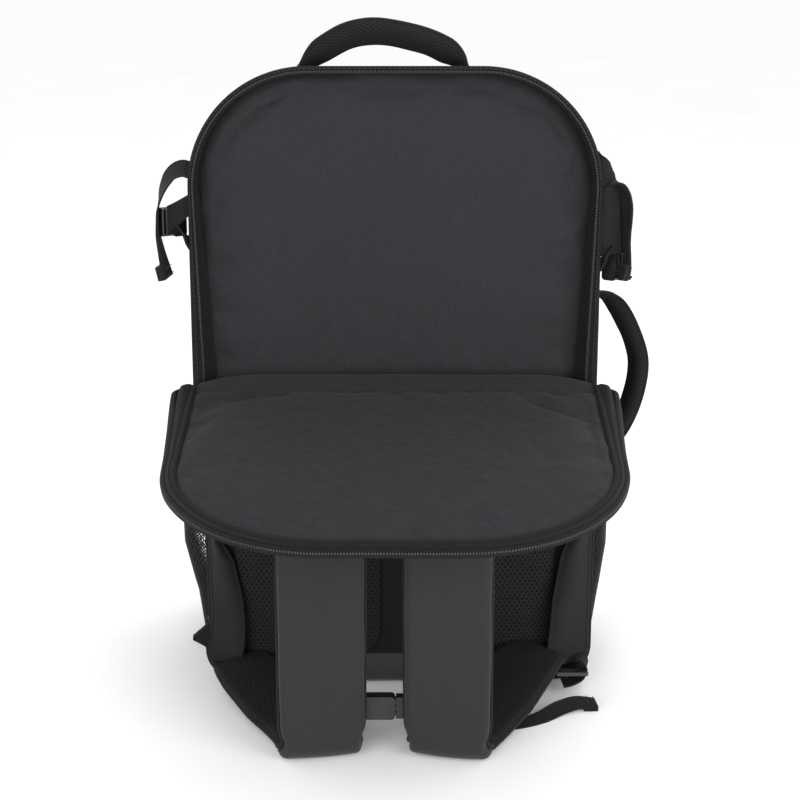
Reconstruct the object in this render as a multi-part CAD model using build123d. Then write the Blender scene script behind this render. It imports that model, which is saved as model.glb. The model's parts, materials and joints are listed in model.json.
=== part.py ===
"""Travel backpack with a rear laptop bay: every sub-part as a closed solid, one STEP file per node.

Millimetres, +Z up. The origin is the middle of the base, on the floor. The back of the bag, with the
laptop bay, faces -Y. The bay's flap is stored folded down and outwards, with the shoulder straps
hanging from its outer face, and the main compartment's front panel is stored zipped shut.
"""

import math
import os

from build123d import *

os.makedirs("parts", exist_ok=True)

# ---------------------------------------------------------------- driving dimensions
bag_height = 526.0
half_width = 170.0
back_y = -100.0  # plane of the laptop bay's mouth
seam_y = 60.0  # plane of the main compartment's zip
front_y = 100.0
wall = 4.0  # outer fabric, foam and lining together
gap = 0.4  # room between neighbouring soft solids
top_radius = 98.0
bottom_radius = 30.0
kick_height = 45.0  # fixed strip below the front panel's fold

fold_y = -121.0  # the flap's fold line, on the outer face of the back
fold_z = 246.0
open_angle = 99.3  # how far the stored flap is from closed, degrees
cover_outer = -112.0  # outer face of the flap's and lower back's covers
cover_inner = back_y - 0.3
pad_outer = -120.0
pad_half_gap = 13.0  # half the air channel between the back pads
pad_half_width = 135.0

strap_width = 66.0
strap_thickness = 12.0
strap_x = {"left": -57.0, "right": 41.0}  # strap centres, not quite even as the straps hang
side_sign = {"left": -1, "right": 1}
strap_pivot_along = 150.0  # from the fold to the line where the strap leaves the yoke, along the flap
strap_pivot_height = -3.0  # that line's height over the fold's plane, outwards from the flap
floor_bend_y = -262.0  # where the strap meets the floor
strap_floor_z = 6.5
strap_fold_y = -240.0  # the strap's own fold line on the floor
lower_end_x = {"left": -126.0, "right": 120.0}  # where the straps' lower ends stop, beside the bag's corners
lock_x = {"left": -138.0, "right": 150.0}  # their ladder locks

webbing_width = 20.0
webbing_thickness = 1.6

# Outline of the bag at each depth: y, half width, top, bottom radius, top radius
SECTIONS = [
    (back_y, half_width, bag_height, bottom_radius, top_radius),
    (-30.0, half_width + 1, bag_height - 10, bottom_radius, top_radius),
    (seam_y, half_width, bag_height - 40, bottom_radius, top_radius),
    (85.0, half_width - 8, bag_height - 58, bottom_radius, top_radius - 3),
    (front_y, half_width - 28, bag_height - 92, bottom_radius - 2, top_radius - 10),
]


# ---------------------------------------------------------------- shared shapes
def upright(y):
    """A sketch plane across the bag at depth y: its x is X, its y is Z, and it faces -Y."""
    return Plane(origin=(0, y, 0), x_dir=(1, 0, 0), z_dir=(0, -1, 0))


def arch(half, low, high, low_radius, high_radius):
    """A flat arch: an upright rectangle with its own corner radii at the bottom and at the top."""
    face = Pos(0, (low + high) / 2) * Rectangle(2 * half, high - low)
    if high_radius:
        face = fillet(face.vertices().group_by(Axis.Y)[-1], high_radius)
    if low_radius:
        face = fillet(face.vertices().group_by(Axis.Y)[0], low_radius)
    return face


def arch_solid(y0, y1, half, low, high, low_radius, high_radius):
    """An arch plate from depth y0 to the greater depth y1."""
    return extrude(upright(y1) * arch(half, low, high, low_radius, high_radius), y1 - y0)


def block(x0, x1, y0, y1, z0, z1):
    """A box between two corners."""
    return Pos((x0 + x1) / 2, (y0 + y1) / 2, (z0 + z1) / 2) * Box(x1 - x0, y1 - y0, z1 - z0)


def rounded_plate(x0, x1, y0, y1, z0, z1, radius):
    """An upright plate with rounded corners, from y0 to y1."""
    face = Pos((x0 + x1) / 2, (z0 + z1) / 2) * RectangleRounded(x1 - x0, z1 - z0, radius)
    return extrude(upright(y1) * face, y1 - y0)


def bag_loft(inset, y_first=None, y_last=None):
    """The bag's closed outer form, made smaller all round by inset, with its end planes moved."""
    faces = []
    for index, (y, half, high, low_r, high_r) in enumerate(SECTIONS):
        if index == 0 and y_first is not None:
            y = y_first
        if index == len(SECTIONS) - 1 and y_last is not None:
            y = y_last
        faces.append(upright(y) * arch(half - inset, inset, high - inset, low_r - inset, high_r - inset))
    return loft(faces, ruled=True)


def mirrored(shape):
    return mirror(shape, Plane.YZ)


def about_fold(shape, angle):
    """Turns a shape about the flap's fold line; a positive angle folds it down and outwards."""
    return shape.rotate(Axis((0, fold_y, fold_z), (1, 0, 0)), angle)


def along_flap(distance, height):
    """A point on the stored flap: distance from the fold, height above its outer face's plane."""
    angle = math.radians(open_angle)
    y = fold_y - distance * math.sin(angle) + height * math.cos(angle)
    z = fold_z + distance * math.cos(angle) + height * math.sin(angle)
    return y, z


def swept(path_points, radii, section, start_x_dir):
    """Sweeps a section along runs joined by tangent arcs."""
    path = FilletPolyline(*path_points, radius=radii) if radii else Polyline(*path_points)
    plane = Plane(origin=path @ 0, x_dir=start_x_dir, z_dir=path % 0)
    return sweep(plane * section, path)


def save(shape, node):
    export_step(Compound(children=list(shape.solids())) if len(shape.solids()) > 1 else shape.solid(),
                f"parts/{node}.step")


outer_form = bag_loft(0)
inner_form = bag_loft(wall, back_y - 5, front_y - wall)
lining_form = bag_loft(wall + gap, back_y - 5, front_y - wall - gap)
far = 400.0  # past every face of the bag


# ---------------------------------------------------------------- bag: shell and inside
def shell():
    """The gusset round the sides and top, the base tray with its front kick strip, and the lid shell."""
    skin = outer_form - inner_form
    base_tray = skin & block(-far, far, -far, far, -1, kick_height)
    gusset = skin & block(-far, far, -far, seam_y, kick_height, 2 * far)
    front_shell = skin & block(-far, far, seam_y + 0.8, far, kick_height + 1, 2 * far)
    save(base_tray, "base_tray")
    save(gusset, "gusset")
    save(front_shell, "front_panel")
    board = block(-138, 138, -62, 88, wall + gap, wall + gap + 3)
    save(fillet(board.edges().filter_by(Axis.Z), 20), "base_board")


def divider():
    """The padded wall between the laptop bay and the main compartment, and its foam."""
    padded = lining_form & block(-far, far, -80, -66, 0, 2 * far)
    foam = arch_solid(-77, -69, 150, 24, bag_height - 22, 20, 75)
    save(padded - foam, "divider_cover")
    save(foam, "divider_foam")


def lower_back():
    """The fixed lower half of the back: cover, frame sheet inside it, and the two air-mesh pads."""
    cover = arch_solid(cover_outer, cover_inner, half_width - 2, 0, fold_z - 2.5, bottom_radius, 0)
    sheet = arch_solid(-107, -105, half_width - 20, 18, fold_z - 14, 18, 0)
    save(cover - sheet, "lower_back_cover")
    save(sheet, "back_frame_sheet")
    pad = rounded_plate(pad_half_gap, pad_half_width, pad_outer, cover_outer - 0.2, 28, fold_z - 6, 14)
    save(pad, "back_pad_right")
    save(mirrored(pad), "back_pad_left")


def bay_zip():
    """The bag's half of the laptop bay's zip, an arched band round the mouth."""
    inset = 6.4
    outside = arch_solid(-105, cover_inner, half_width, 250, bag_height, 0, top_radius)
    inside = arch_solid(-106, -99, half_width - inset, 240, bag_height - inset, 0, top_radius - inset)
    save(outside - inside, "bay_zip_bag_side")


def zip_band(y0, y1, low):
    """A thin band of zip tape round the outside of the bag between two depths."""
    band = bag_loft(-1.8) - bag_loft(-0.3, back_y - 5, front_y + 5)
    return band & block(-far, far, y0, y1, low, 2 * far)


def bottle_pockets():
    """Flat open-topped side pockets, which use the gusset as their back, and their elastic hems."""
    pocket = block(175, 190, -65, 45, 25, 165) - block(174, 187.5, -62.5, 42.5, 28, 170)
    hem = block(175, 192, -67, 47, 165.2, 175) - block(174, 187.5, -62.5, 42.5, 160, 180)
    save(pocket, "bottle_pocket_right")
    save(mirrored(pocket), "bottle_pocket_left")
    save(Part() + [hem, mirrored(hem)], "pocket_hems")


# ---------------------------------------------------------------- flap
def flap():
    """The folding upper half of the back: cover, foam, pads, strap yoke and its half of the zip."""
    low, high = fold_z + 2.5, bag_height - 12
    cover = arch_solid(cover_outer, cover_inner, half_width - 12, low, high, 0, top_radius - 12)
    foam = arch_solid(-109, -103, half_width - 22, low + 8, high - 10, 0, top_radius - 22)
    band = arch_solid(-106.5, -101, half_width - 7, low + 4, high + 5, 0, top_radius - 7)
    band -= arch_solid(-108, -99, half_width - 11.7, 240, high + 0.3, 0, top_radius - 11.7)
    pad = rounded_plate(pad_half_gap, pad_half_width, pad_outer, cover_outer - 0.2, fold_z + 6, 383, 14)
    yoke = rounded_plate(-118, 118, -116, cover_outer - 0.2, 386, 424, 8)
    parts = {
        "flap_cover": cover - foam,
        "flap_foam": foam,
        "bay_zip_flap_side": band,
        "flap_pad_right": pad,
        "flap_pad_left": mirrored(pad),
        "strap_yoke": yoke,
    }
    for node, shape in parts.items():
        save(about_fold(shape, open_angle), node)


# ---------------------------------------------------------------- shoulder straps
def shoulder_strap(side):
    """The padded strap: hanging from the yoke to the floor, then lying back to the bag's lower corner."""
    x = strap_x[side]
    s = side_sign[side]
    top = along_flap(strap_pivot_along, strap_pivot_height)
    points = [(x, *top), (x, floor_bend_y, strap_floor_z), (x, strap_fold_y - 6, strap_floor_z)]
    hanging = swept(points, [14], RectangleRounded(strap_width, strap_thickness, 4), (1, 0, 0))
    rolled_end = Pos(x, *top) * Rot(0, 90, 0) * Cylinder(strap_thickness / 2, strap_width)
    save(hanging + rolled_end, f"shoulder_strap_{side}")

    start = Plane(origin=(x, strap_fold_y + 6, strap_floor_z), x_dir=(1, 0, 0), z_dir=(0, 1, 0))
    end = Plane(origin=(lower_end_x[side], -146, 27), x_dir=(1, 0, s * -0.12), z_dir=(0, 1, 0.15))
    lying = loft([start * Rectangle(strap_width, strap_thickness - 1),
                  end * Rectangle(strap_width - 10, strap_thickness - 2)], ruled=True)
    save(lying, f"strap_lower_{side}")


def strap_adjuster(side):
    """Ladder lock on the strap's lower end, and the webbing from the bag's corner with its loose tail."""
    s = side_sign[side]
    lock = block(-13, 13, -8, 8, -1.5, 1.5)
    lock -= block(-10.5, 10.5, 1.5, 5, -5, 5) + block(-10.5, 10.5, -5, -1.5, -5, 5)
    save(Pos(lock_x[side], -134, 19) * Rot(-10, 0, 0) * lock, f"ladder_lock_{side}")

    corner = Pos(lock_x[side] + s * 2, -119.5, 10.5) * Box(webbing_width, 12, webbing_thickness)
    reach = 96.0 if side == "right" else 60.0
    tail = [(s * 82, -178, 0.9), (s * (82 + reach * 0.5), -184, 0.9), (s * (82 + reach), -196, 0.9)]
    loose = swept(tail, [160], Rectangle(webbing_width, webbing_thickness), (0, 1, 0))
    save(Part() + [corner, loose], f"adjuster_webbing_{side}")


def strap_wings():
    """The fabric wings on the back's side seams that spread the straps' load, and the tabs at their feet."""
    outline_points = [(0, 0), (0, 118), (10, 112), (40, 84), (42, 4), (30, 0)]
    wing = extrude(make_face(Polyline(*outline_points, close=True)), 2.5)
    wing = Plane(origin=(-163, -114.5, 48), x_dir=(0.86, -0.5, 0), z_dir=(-0.5, -0.86, 0)) * wing
    tab = extrude(make_face(Polyline((0, 0), (0, 26), (-14, 12), close=True)), 3)
    tab = Plane(origin=(-170.6, -103, 28), x_dir=(1, 0, 0), z_dir=(0, -1, 0)) * tab
    save(Part() + [wing, mirrored(wing)], "strap_wings")
    save(Part() + [tab, mirrored(tab)], "corner_tabs")


# ---------------------------------------------------------------- sternum strap
sternum_z = 40.0
sternum_y = -247.5


def sternum_strap():
    """Two rail sliders behind the strap's edges, webbing, and the side-release buckle between them."""
    y, z = sternum_y, sternum_z

    def rail_slider(x0, x1):
        return rounded_plate(x0, x1, y - 6, y + 4, z - 12, z + 12, 3)

    female = rounded_plate(-26, 0, y - 5, y + 5, z - 9.5, z + 9.5, 3)
    female -= block(-21, 1, y - 3.2, y + 3.2, z - 7.8, z + 7.8)
    male = block(0.8, 9, y - 4, y + 4, z - 9, z + 9)
    prong = block(-18, 0.8, y - 2.4, y + 2.4, 0, 3.4)
    male += Pos(0, 0, z + 3.8) * prong
    male += Pos(0, 0, z - 7.2) * prong
    male += block(-14, 0.8, y - 2, y + 2, z - 1.5, z + 1.5)
    male -= block(2.5, 20, y - 1.6, y + 1.6, z - 7.7, z + 7.7)
    save(rail_slider(-46, -36) - block(-47, -35, y - 1, y + 1, z - 8, z + 8), "sternum_slider_left")
    save(block(-40, -26.2, y - 0.8, y + 0.8, z - 7.5, z + 7.5), "sternum_webbing_left")
    save(female, "sternum_buckle_female")
    save(male, "sternum_buckle_male")
    save(block(4, 44, y - 0.8, y + 0.8, z - 7.5, z + 7.5), "sternum_webbing_right")
    save(rail_slider(38.5, 48.5) - block(37, 50, y - 1, y + 1, z - 8, z + 8), "sternum_slider_right")


# ---------------------------------------------------------------- compression straps
buckle_z = {"left": 397.0, "right": 360.0}
tail_length = {"left": 40.0, "right": 14.0}
loop_top_z = 441.0


def compression(side):
    """One upper side strap: wing, side-release buckle, and webbing with a slack loop and a loose tail."""
    z = buckle_z[side]
    # In the buckle's plane x runs outwards from the bag to the ladder end, and y is up.
    plane = Plane(origin=(-181.2, -84, z), x_dir=(-0.8, -0.6, 0), z_dir=(-0.6, 0.8, 0))
    female = Pos(-2.5, 0, 0) * extrude(RectangleRounded(13, 25, 3), 5, both=True)
    female -= Pos(-0.5, 0, 0) * Box(13, 20, 6.6)
    male = Pos(9, 0, 0) * Box(8.4, 23, 7)
    for height in (-6.5, 6.5):
        male += Pos(-0.5, height, 0) * Box(11, 4.4, 4.6)
        male -= Pos(9 + height / 4, 0, 0) * Box(2, 20.4, 8)

    top, low = loop_top_z, z + 13
    wing_points = [(-170.9, top - 16), (-170.9, z - 12), (-184, z - 11), (-184, z + 11)]
    wing = extrude(upright(-91.5) * make_face(Polyline(*wing_points, close=True)), 2)
    loop_points = [(-190.6, -90, low), (-193.6, -91, low + 18), (-187, -91, top - 4), (-171.9, -91, top)]
    loop = swept(loop_points, [24, 12], Rectangle(webbing_thickness, webbing_width - 2), (-0.98, 0, -0.2))
    tail = Box(webbing_thickness, webbing_width - 2, tail_length[side], align=(Align.CENTER, Align.CENTER, Align.MAX))
    tail = Pos(-192.1, -90, z - 13) * tail
    return [shape if side == "left" else mirrored(shape) for shape in
            (plane * female, plane * male, wing, loop, tail)]


def compression_straps():
    left, right = compression("left"), compression("right")
    save(Part() + [left[0], right[0]], "compression_buckle_females")
    save(left[1], "compression_buckle_male_left")
    save(right[1], "compression_buckle_male_right")
    save(Part() + [left[2], right[2]], "compression_wings")
    save(Part() + left[3:] + right[3:], "compression_webbings")


# ---------------------------------------------------------------- handles
top_handle_x, top_handle_y, top_handle_z = -9.0, -76.0, 536.0
side_handle_x, side_handle_y, side_handle_z = 185.5, 0.0, 253.0
grip_width = 24.0
grip_thickness = 15.0


def handle(half_span, rise):
    """A padded grab handle in the XZ plane: an arch with a round foot at each end, on the X axis."""
    foot = 6.0
    arc = ThreePointArc((-half_span, 0, foot), (0, 0, rise), (half_span, 0, foot))
    plane = Plane(origin=arc @ 0, x_dir=(0, 1, 0), z_dir=arc % 0)
    grip = sweep(plane * RectangleRounded(grip_width, grip_thickness, grip_thickness / 2 - 0.5), arc)
    grip &= block(-far, far, -far, far, 0, far)
    feet = Rot(0, 90, 0) * Cylinder(foot, 14)
    return grip + Pos(-half_span, 0, 0) * feet + Pos(half_span, 0, 0) * feet


def handles():
    """Both grips, and the four webbing tabs that hold their ends."""
    top_grip = handle(68, 16)
    save(Pos(top_handle_x, top_handle_y, top_handle_z) * top_grip, "top_handle_grip")
    side_grip = Rot(0, 90, 0) * handle(64, 33)
    save(Pos(side_handle_x, side_handle_y, side_handle_z) * side_grip, "side_handle_grip")
    tab = block(-8, 8, -12, 12, -1.2, 1.2)
    anchors = []
    for end in (-1, 1):
        anchors.append(Pos(top_handle_x + end * 85, top_handle_y, top_handle_z - 7.5) * Rot(7, 0, 0) * tab)
        anchors.append(Pos(side_handle_x - 8.6, side_handle_y, side_handle_z + end * 81) * Rot(0, 90, 0) * tab)
    save(Part() + anchors, "handle_anchors")


# ---------------------------------------------------------------- front panel
def front():
    """Zip tapes of the main compartment and the flat organiser pocket with its own zip."""
    save(zip_band(seam_y - 8, seam_y - 0.3, 70), "main_zip_bag_side")
    save(zip_band(seam_y + 1.1, seam_y + 8.8, 70), "main_zip_panel_side")
    pocket = rounded_plate(-118, 118, front_y + 0.3, front_y + 14, 76, 330, 26)
    save(pocket, "front_pocket")
    save(rounded_plate(-96, 96, front_y + 14.2, front_y + 15.8, 296, 312, 3), "pocket_zip")


# ---------------------------------------------------------------- zip sliders
def pull_tab(length):
    """A flat pull hanging from the origin down -Z, facing -Y."""
    return rounded_plate(-3, 3, -0.9, 0.9, -length, 1.2, 1.1)


def sliders():
    """Slider bodies and their pulls: two on the bay, two on the main compartment, one on the pocket."""
    body = block(170.4, 176, -109, -101, 236, 247)
    pull = Pos(178, -105, 242) * Rot(0, 0, 90) * pull_tab(30)
    for side in ("left", "right"):
        save(body if side == "right" else mirrored(body), f"bay_slider_{side}")
        save(pull if side == "right" else mirrored(pull), f"bay_slider_pull_{side}")

    deck = bag_height - 40 + 1.8  # top of the main zip's tape at the seam
    for side in ("left", "right"):
        s = side_sign[side]
        save(Pos(s * 7, 53.5, deck + 5.6) * Box(9, 10, 4.4), f"main_slider_{side}")
        tab = Pos(s * 7, 50.5, deck + 9.8) * Rot(-101, 0, 0) * pull_tab(26)
        save(tab, f"main_slider_pull_{side}")

    save(Pos(-86, front_y + 18.4, 304) * Box(9, 4.4, 9), "pocket_slider")
    save(Pos(-86, front_y + 22.8, 304) * pull_tab(26), "pocket_slider_pull")


shell()
divider()
lower_back()
bay_zip()
bottle_pockets()
flap()
for side in ("left", "right"):
    shoulder_strap(side)
    strap_adjuster(side)
strap_wings()
sternum_strap()
compression_straps()
handles()
front()
sliders()
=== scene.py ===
"""Travel backpack with its laptop bay open: soft goods, trim, materials, light and camera."""

import json
import math

import bpy
import numpy as np
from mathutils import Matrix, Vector, noise


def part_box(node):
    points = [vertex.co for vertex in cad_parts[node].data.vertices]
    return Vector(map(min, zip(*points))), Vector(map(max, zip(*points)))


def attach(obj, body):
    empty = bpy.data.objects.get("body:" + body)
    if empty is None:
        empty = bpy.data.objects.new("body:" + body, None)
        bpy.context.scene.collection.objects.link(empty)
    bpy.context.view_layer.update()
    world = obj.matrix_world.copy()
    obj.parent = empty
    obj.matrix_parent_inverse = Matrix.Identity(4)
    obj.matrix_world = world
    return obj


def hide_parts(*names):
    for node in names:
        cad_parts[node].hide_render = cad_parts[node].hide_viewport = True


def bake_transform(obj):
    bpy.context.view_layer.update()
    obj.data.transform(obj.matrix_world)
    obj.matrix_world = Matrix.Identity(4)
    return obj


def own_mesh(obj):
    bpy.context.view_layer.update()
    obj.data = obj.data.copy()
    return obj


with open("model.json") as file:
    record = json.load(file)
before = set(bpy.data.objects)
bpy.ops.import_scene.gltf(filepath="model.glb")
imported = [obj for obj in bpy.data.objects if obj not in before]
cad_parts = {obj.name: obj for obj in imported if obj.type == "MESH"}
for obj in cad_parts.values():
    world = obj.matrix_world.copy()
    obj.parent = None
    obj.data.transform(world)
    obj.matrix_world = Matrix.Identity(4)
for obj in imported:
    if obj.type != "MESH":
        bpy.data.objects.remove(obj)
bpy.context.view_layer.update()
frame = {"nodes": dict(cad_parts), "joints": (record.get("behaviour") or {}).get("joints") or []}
joint = {j["name"]: j for j in frame["joints"]}
scene = bpy.context.scene
scene.view_settings.view_transform = "Standard"

# ---------------------------------------------------------------- dimensions, metres
SIDES = (("left", -1), ("right", 1))
BACK_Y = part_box("gusset")[0][1]
SEAM_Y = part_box("gusset")[1][1]
FRONT_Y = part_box("front_panel")[1][1]
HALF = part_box("bay_zip_bag_side")[1][0]
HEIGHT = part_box("bay_zip_bag_side")[1][2]
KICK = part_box("base_tray")[1][2]
BOTTOM_RADIUS = 0.03
WALL = 0.004

FOLD_Y, FOLD_Z = joint["flap_hinge"]["pos_m"][1:]
OPEN_ANGLE = math.radians(99.3)
COVER_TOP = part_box("lower_back_cover")[1][2]
STRAP_PIVOT = joint["strap_left_hinge"]["pos_m"]
STRAP_WIDTH = 0.066
WEBBING_THICKNESS = 0.0016
STUD_TAPER = 0.7  # a tooth's or stitch's top over its foot
STRAP_THICKNESS = 0.0135
STRAP_X = {"left": -0.0565, "right": 0.0405}
RIM_HALF = 0.1675
RIM_HIGH = 0.5232
RIM_RADIUS = 0.097
FLAP_HALF = 0.1635
FLAP_HIGH = 0.5055
FLAP_RADIUS = 0.116


# ---------------------------------------------------------------- mesh building
def rng_wave(points, size, seed):
    """Smooth noise, about -1 to 1, at each point, with features of the given size."""
    shift = Vector((seed * 7.31, seed * 3.17, seed * 5.53))
    return np.array([noise.noise(Vector(p) / size + shift) for p in points])


def grid_faces(rows, cols, wrap=False, start=0):
    """Quads of a grid of vertices stored row by row. wrap joins the last column to the first."""
    last = cols if wrap else cols - 1
    r, c = np.meshgrid(np.arange(rows - 1), np.arange(last), indexing="ij")
    a = start + r * cols + c
    b = start + r * cols + (c + 1) % cols
    d = a + cols
    e = b + cols
    return np.stack([a, b, e, d], axis=-1).reshape(-1, 4).tolist()


def mesh_piece(name, verts, faces, materials, body=None, uv=None, face_materials=None):
    mesh = bpy.data.meshes.new(name)
    mesh.from_pydata(np.asarray(verts, float).tolist(), [], faces)
    if uv is not None:
        layer = mesh.uv_layers.new(name="UVMap")
        index = np.zeros(len(mesh.loops), int)
        mesh.loops.foreach_get("vertex_index", index)
        layer.data.foreach_set("uv", np.asarray(uv, np.float32)[index].ravel())
    if not isinstance(materials, (list, tuple)):
        materials = [materials]
    for material in materials:
        mesh.materials.append(material)
    if face_materials is not None:
        mesh.polygons.foreach_set("material_index", face_materials)
    obj = bpy.data.objects.new(name, mesh)
    shade_smooth(obj)
    scene.collection.objects.link(obj)
    if body:
        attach(obj, body)
    return obj


def modifier(obj, kind, **settings):
    m = obj.modifiers.new(kind.title(), kind)
    for key, value in settings.items():
        setattr(m, key, value)
    return m


def shade_smooth(obj, smooth=True):
    obj.data.polygons.foreach_set("use_smooth", [smooth] * len(obj.data.polygons))


def get_points(mesh):
    """A mesh's vertices as an array."""
    co = np.zeros(len(mesh.vertices) * 3)
    mesh.vertices.foreach_get("co", co)
    return co.reshape(-1, 3)


def set_points(mesh, points):
    mesh.vertices.foreach_set("co", points.ravel())
    mesh.update()


def apply_modifiers(obj):
    """Replaces the object's mesh with its modified one."""
    graph = bpy.context.evaluated_depsgraph_get()
    mesh = bpy.data.meshes.new_from_object(obj.evaluated_get(graph))
    obj.modifiers.clear()
    obj.data = mesh


def running(steps):
    """The running total of the steps, from 0."""
    return np.concatenate([[0], np.cumsum(steps)])


def lengths(points):
    """Distance along a line of points, from its first."""
    return running(np.linalg.norm(np.diff(points, axis=0), axis=1))


def resample(points, count):
    """The same line, with evenly spaced points."""
    points = np.asarray(points, float)
    along = lengths(points)
    wanted = np.linspace(0, along[-1], count)
    return np.stack([np.interp(wanted, along, points[:, k]) for k in range(points.shape[1])], axis=1)


def curve_through(points, count):
    """A smooth line through the points, evenly spaced."""
    p = np.asarray(points, float)
    p = np.vstack([2 * p[0] - p[1], p, 2 * p[-1] - p[-2]])
    t = np.linspace(0, 1, 24, endpoint=False)[:, None]
    runs = []
    for a, b, c, d in zip(p[:-3], p[1:-2], p[2:-1], p[3:]):
        runs.append(0.5 * (2 * b + (c - a) * t + (2 * a - 5 * b + 4 * c - d) * t**2
                           + (3 * b - a - 3 * c + d) * t**3))
    return resample(np.vstack(runs + [p[-2][None]]), count)


def tangents(path):
    t = np.gradient(path, axis=0)
    return t / np.linalg.norm(t, axis=1, keepdims=True)


def squared(side, t):
    """One unit vector per point: side, made square to the tangents t."""
    side = np.broadcast_to(np.asarray(side, float), t.shape)
    side = side - (side * t).sum(1, keepdims=True) * t
    return side / np.linalg.norm(side, axis=1, keepdims=True)


def arch(half, low, high, r_low, r_high, count):
    """A closed upright outline (x, z), starting at the middle of the bottom and going right."""
    r_low, r_high = max(r_low, 1e-5), max(r_high, 1e-5)
    corner = np.linspace(0, math.pi / 2, 24)
    sine, cosine = np.sin(corner), np.cos(corner)
    right_low = np.stack([half - r_low + r_low * sine, low + r_low - r_low * cosine], 1)
    right_high = np.stack([half - r_high + r_high * cosine, high - r_high + r_high * sine], 1)
    right = np.vstack([[(0, low)], right_low, right_high, [(0, high)]])
    left = right[::-1][1:] * (-1, 1)
    return resample(np.vstack([right, left]), count + 1)[:-1]


def open_arch(half, low, high, radius, count):
    """An upright outline (x, z) from the lower right over the top to the lower left."""
    corner = np.linspace(0, math.pi / 2, 32)
    right = np.stack([half - radius + radius * np.cos(corner), high - radius + radius * np.sin(corner)], 1)
    right = np.vstack([[(half, low)], right])
    left = right[::-1] * (-1, 1)
    return resample(np.vstack([right, left]), count)


def upright(outline, y):
    """(x, z) points as 3-D points at depth y."""
    outline = np.asarray(outline)
    return np.stack([outline[:, 0], np.broadcast_to(y, len(outline)).astype(float), outline[:, 1]], 1)


def opened(points, turn=OPEN_ANGLE):
    """Turns points of the closed flap down and outwards about the fold."""
    p = np.array(points, float)
    y, z = p[..., 1] - FOLD_Y, p[..., 2] - FOLD_Z
    p[..., 1] = FOLD_Y + y * math.cos(turn) - z * math.sin(turn)
    p[..., 2] = FOLD_Z + y * math.sin(turn) + z * math.cos(turn)
    return p


def grid_normals(P):
    du, dv = np.gradient(P, axis=0), np.gradient(P, axis=1)
    n = np.cross(du, dv)
    return n / np.maximum(np.linalg.norm(n, axis=2, keepdims=True), 1e-12)


def thick_sheet(name, P, thickness, material, body=None, back_material=None):
    """A sheet of cloth from a grid of points, thickened away from its normals."""
    rows, cols = P.shape[:2]
    top = P.reshape(-1, 3)
    under = (P - grid_normals(P) * thickness).reshape(-1, 3)
    n = rows * cols
    faces = grid_faces(rows, cols)
    back = [f[::-1] for f in grid_faces(rows, cols, start=n)]
    rim = [r * cols for r in range(rows)], [r * cols + cols - 1 for r in range(rows)]
    ends = list(range(cols)), [(rows - 1) * cols + c for c in range(cols)]
    sides = []
    for line in (rim[0], ends[1]):
        sides += [[b, a, a + n, b + n] for a, b in zip(line[:-1], line[1:])]
    for line in (rim[1], ends[0]):
        sides += [[a, b, b + n, a + n] for a, b in zip(line[:-1], line[1:])]
    u = running(np.linalg.norm(np.diff(P, axis=0), axis=2).mean(axis=1))
    v = running(np.linalg.norm(np.diff(P, axis=1), axis=2).mean(axis=0))
    uv = np.stack(np.meshgrid(v, u), axis=-1).reshape(-1, 2)
    materials = [material] + ([back_material] if back_material else [])
    which = [0] * len(faces) + [1 if back_material else 0] * len(back) + [0] * len(sides)
    return mesh_piece(name, np.vstack([top, under]), faces + back + sides, materials, body,
                      np.vstack([uv, uv]), which)


def sweep(name, path, side, section, materials, section_materials, width, height):
    """Sweeps a closed section (along side, along the outward normal) down a path, with flat caps at its ends.
    """
    path = np.asarray(path, float)
    count = len(path)
    t = tangents(path)
    side = squared(side, t)
    out = np.cross(side, t)
    rings = (path[:, None] + side[:, None] * (section[None, :, 0:1] * width[:, None, None])
             + out[:, None] * (section[None, :, 1:2] * height[:, None, None]))
    m = len(section)
    faces = grid_faces(count, m, wrap=True)
    which = [section_materials[f % m] for f in range(len(faces))] + [0, 0]
    verts = rings.reshape(-1, 3)
    round_section = np.vstack([section, section[:1]])
    u = lengths(round_section)[:-1]
    uv = np.stack(np.meshgrid(u, lengths(path)), axis=-1).reshape(-1, 2)
    faces.append(list(range(m)))
    faces.append([(count - 1) * m + k for k in range(m)][::-1])
    return mesh_piece(name, verts, faces, materials, None, uv, which)


def rounded_section(width, thickness, crown_out=0.0, crown_in=0.0, count=48, edge=None):
    """A flat closed section with round edges, and faces that swell in the middle."""
    edge = thickness / 2 if edge is None else edge
    box = np.array(arch(width / 2, -thickness / 2, thickness / 2, edge * 0.98, edge * 0.98, count))
    swell = np.cos(np.clip(box[:, 0] / (width / 2), -1, 1) * math.pi / 2)
    box[:, 1] += np.where(box[:, 1] > 0, crown_out, -crown_in) * swell
    return box[::-1]


def tube(name, path, radius, material, body=None, sides=10):
    """Round cord or piping along a path."""
    path = np.asarray(path, float)
    t = tangents(path)
    first = np.cross(t[0], (0.31, 0.9, 0.27))
    normal = [first / np.linalg.norm(first)]
    for direction in t[1:]:
        n = normal[-1] - direction * np.dot(normal[-1], direction)
        normal.append(n / np.linalg.norm(n))
    normal = np.array(normal)
    other = np.cross(t, normal)
    angle = np.linspace(0, 2 * math.pi, sides, endpoint=False)
    ring = (normal[:, None] * np.cos(angle)[None, :, None] + other[:, None] * np.sin(angle)[None, :, None])
    radius = np.broadcast_to(radius, len(path)).astype(float)
    P = path[:, None] + ring * radius[:, None, None]
    faces = grid_faces(len(path), sides, wrap=True)
    faces += [list(range(sides)), [(len(path) - 1) * sides + k for k in range(sides)][::-1]]
    uv = np.stack(np.meshgrid(angle * radius.mean(), lengths(path)), axis=-1).reshape(-1, 2)
    return mesh_piece(name, P.reshape(-1, 3), faces, material, body, uv)


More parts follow.
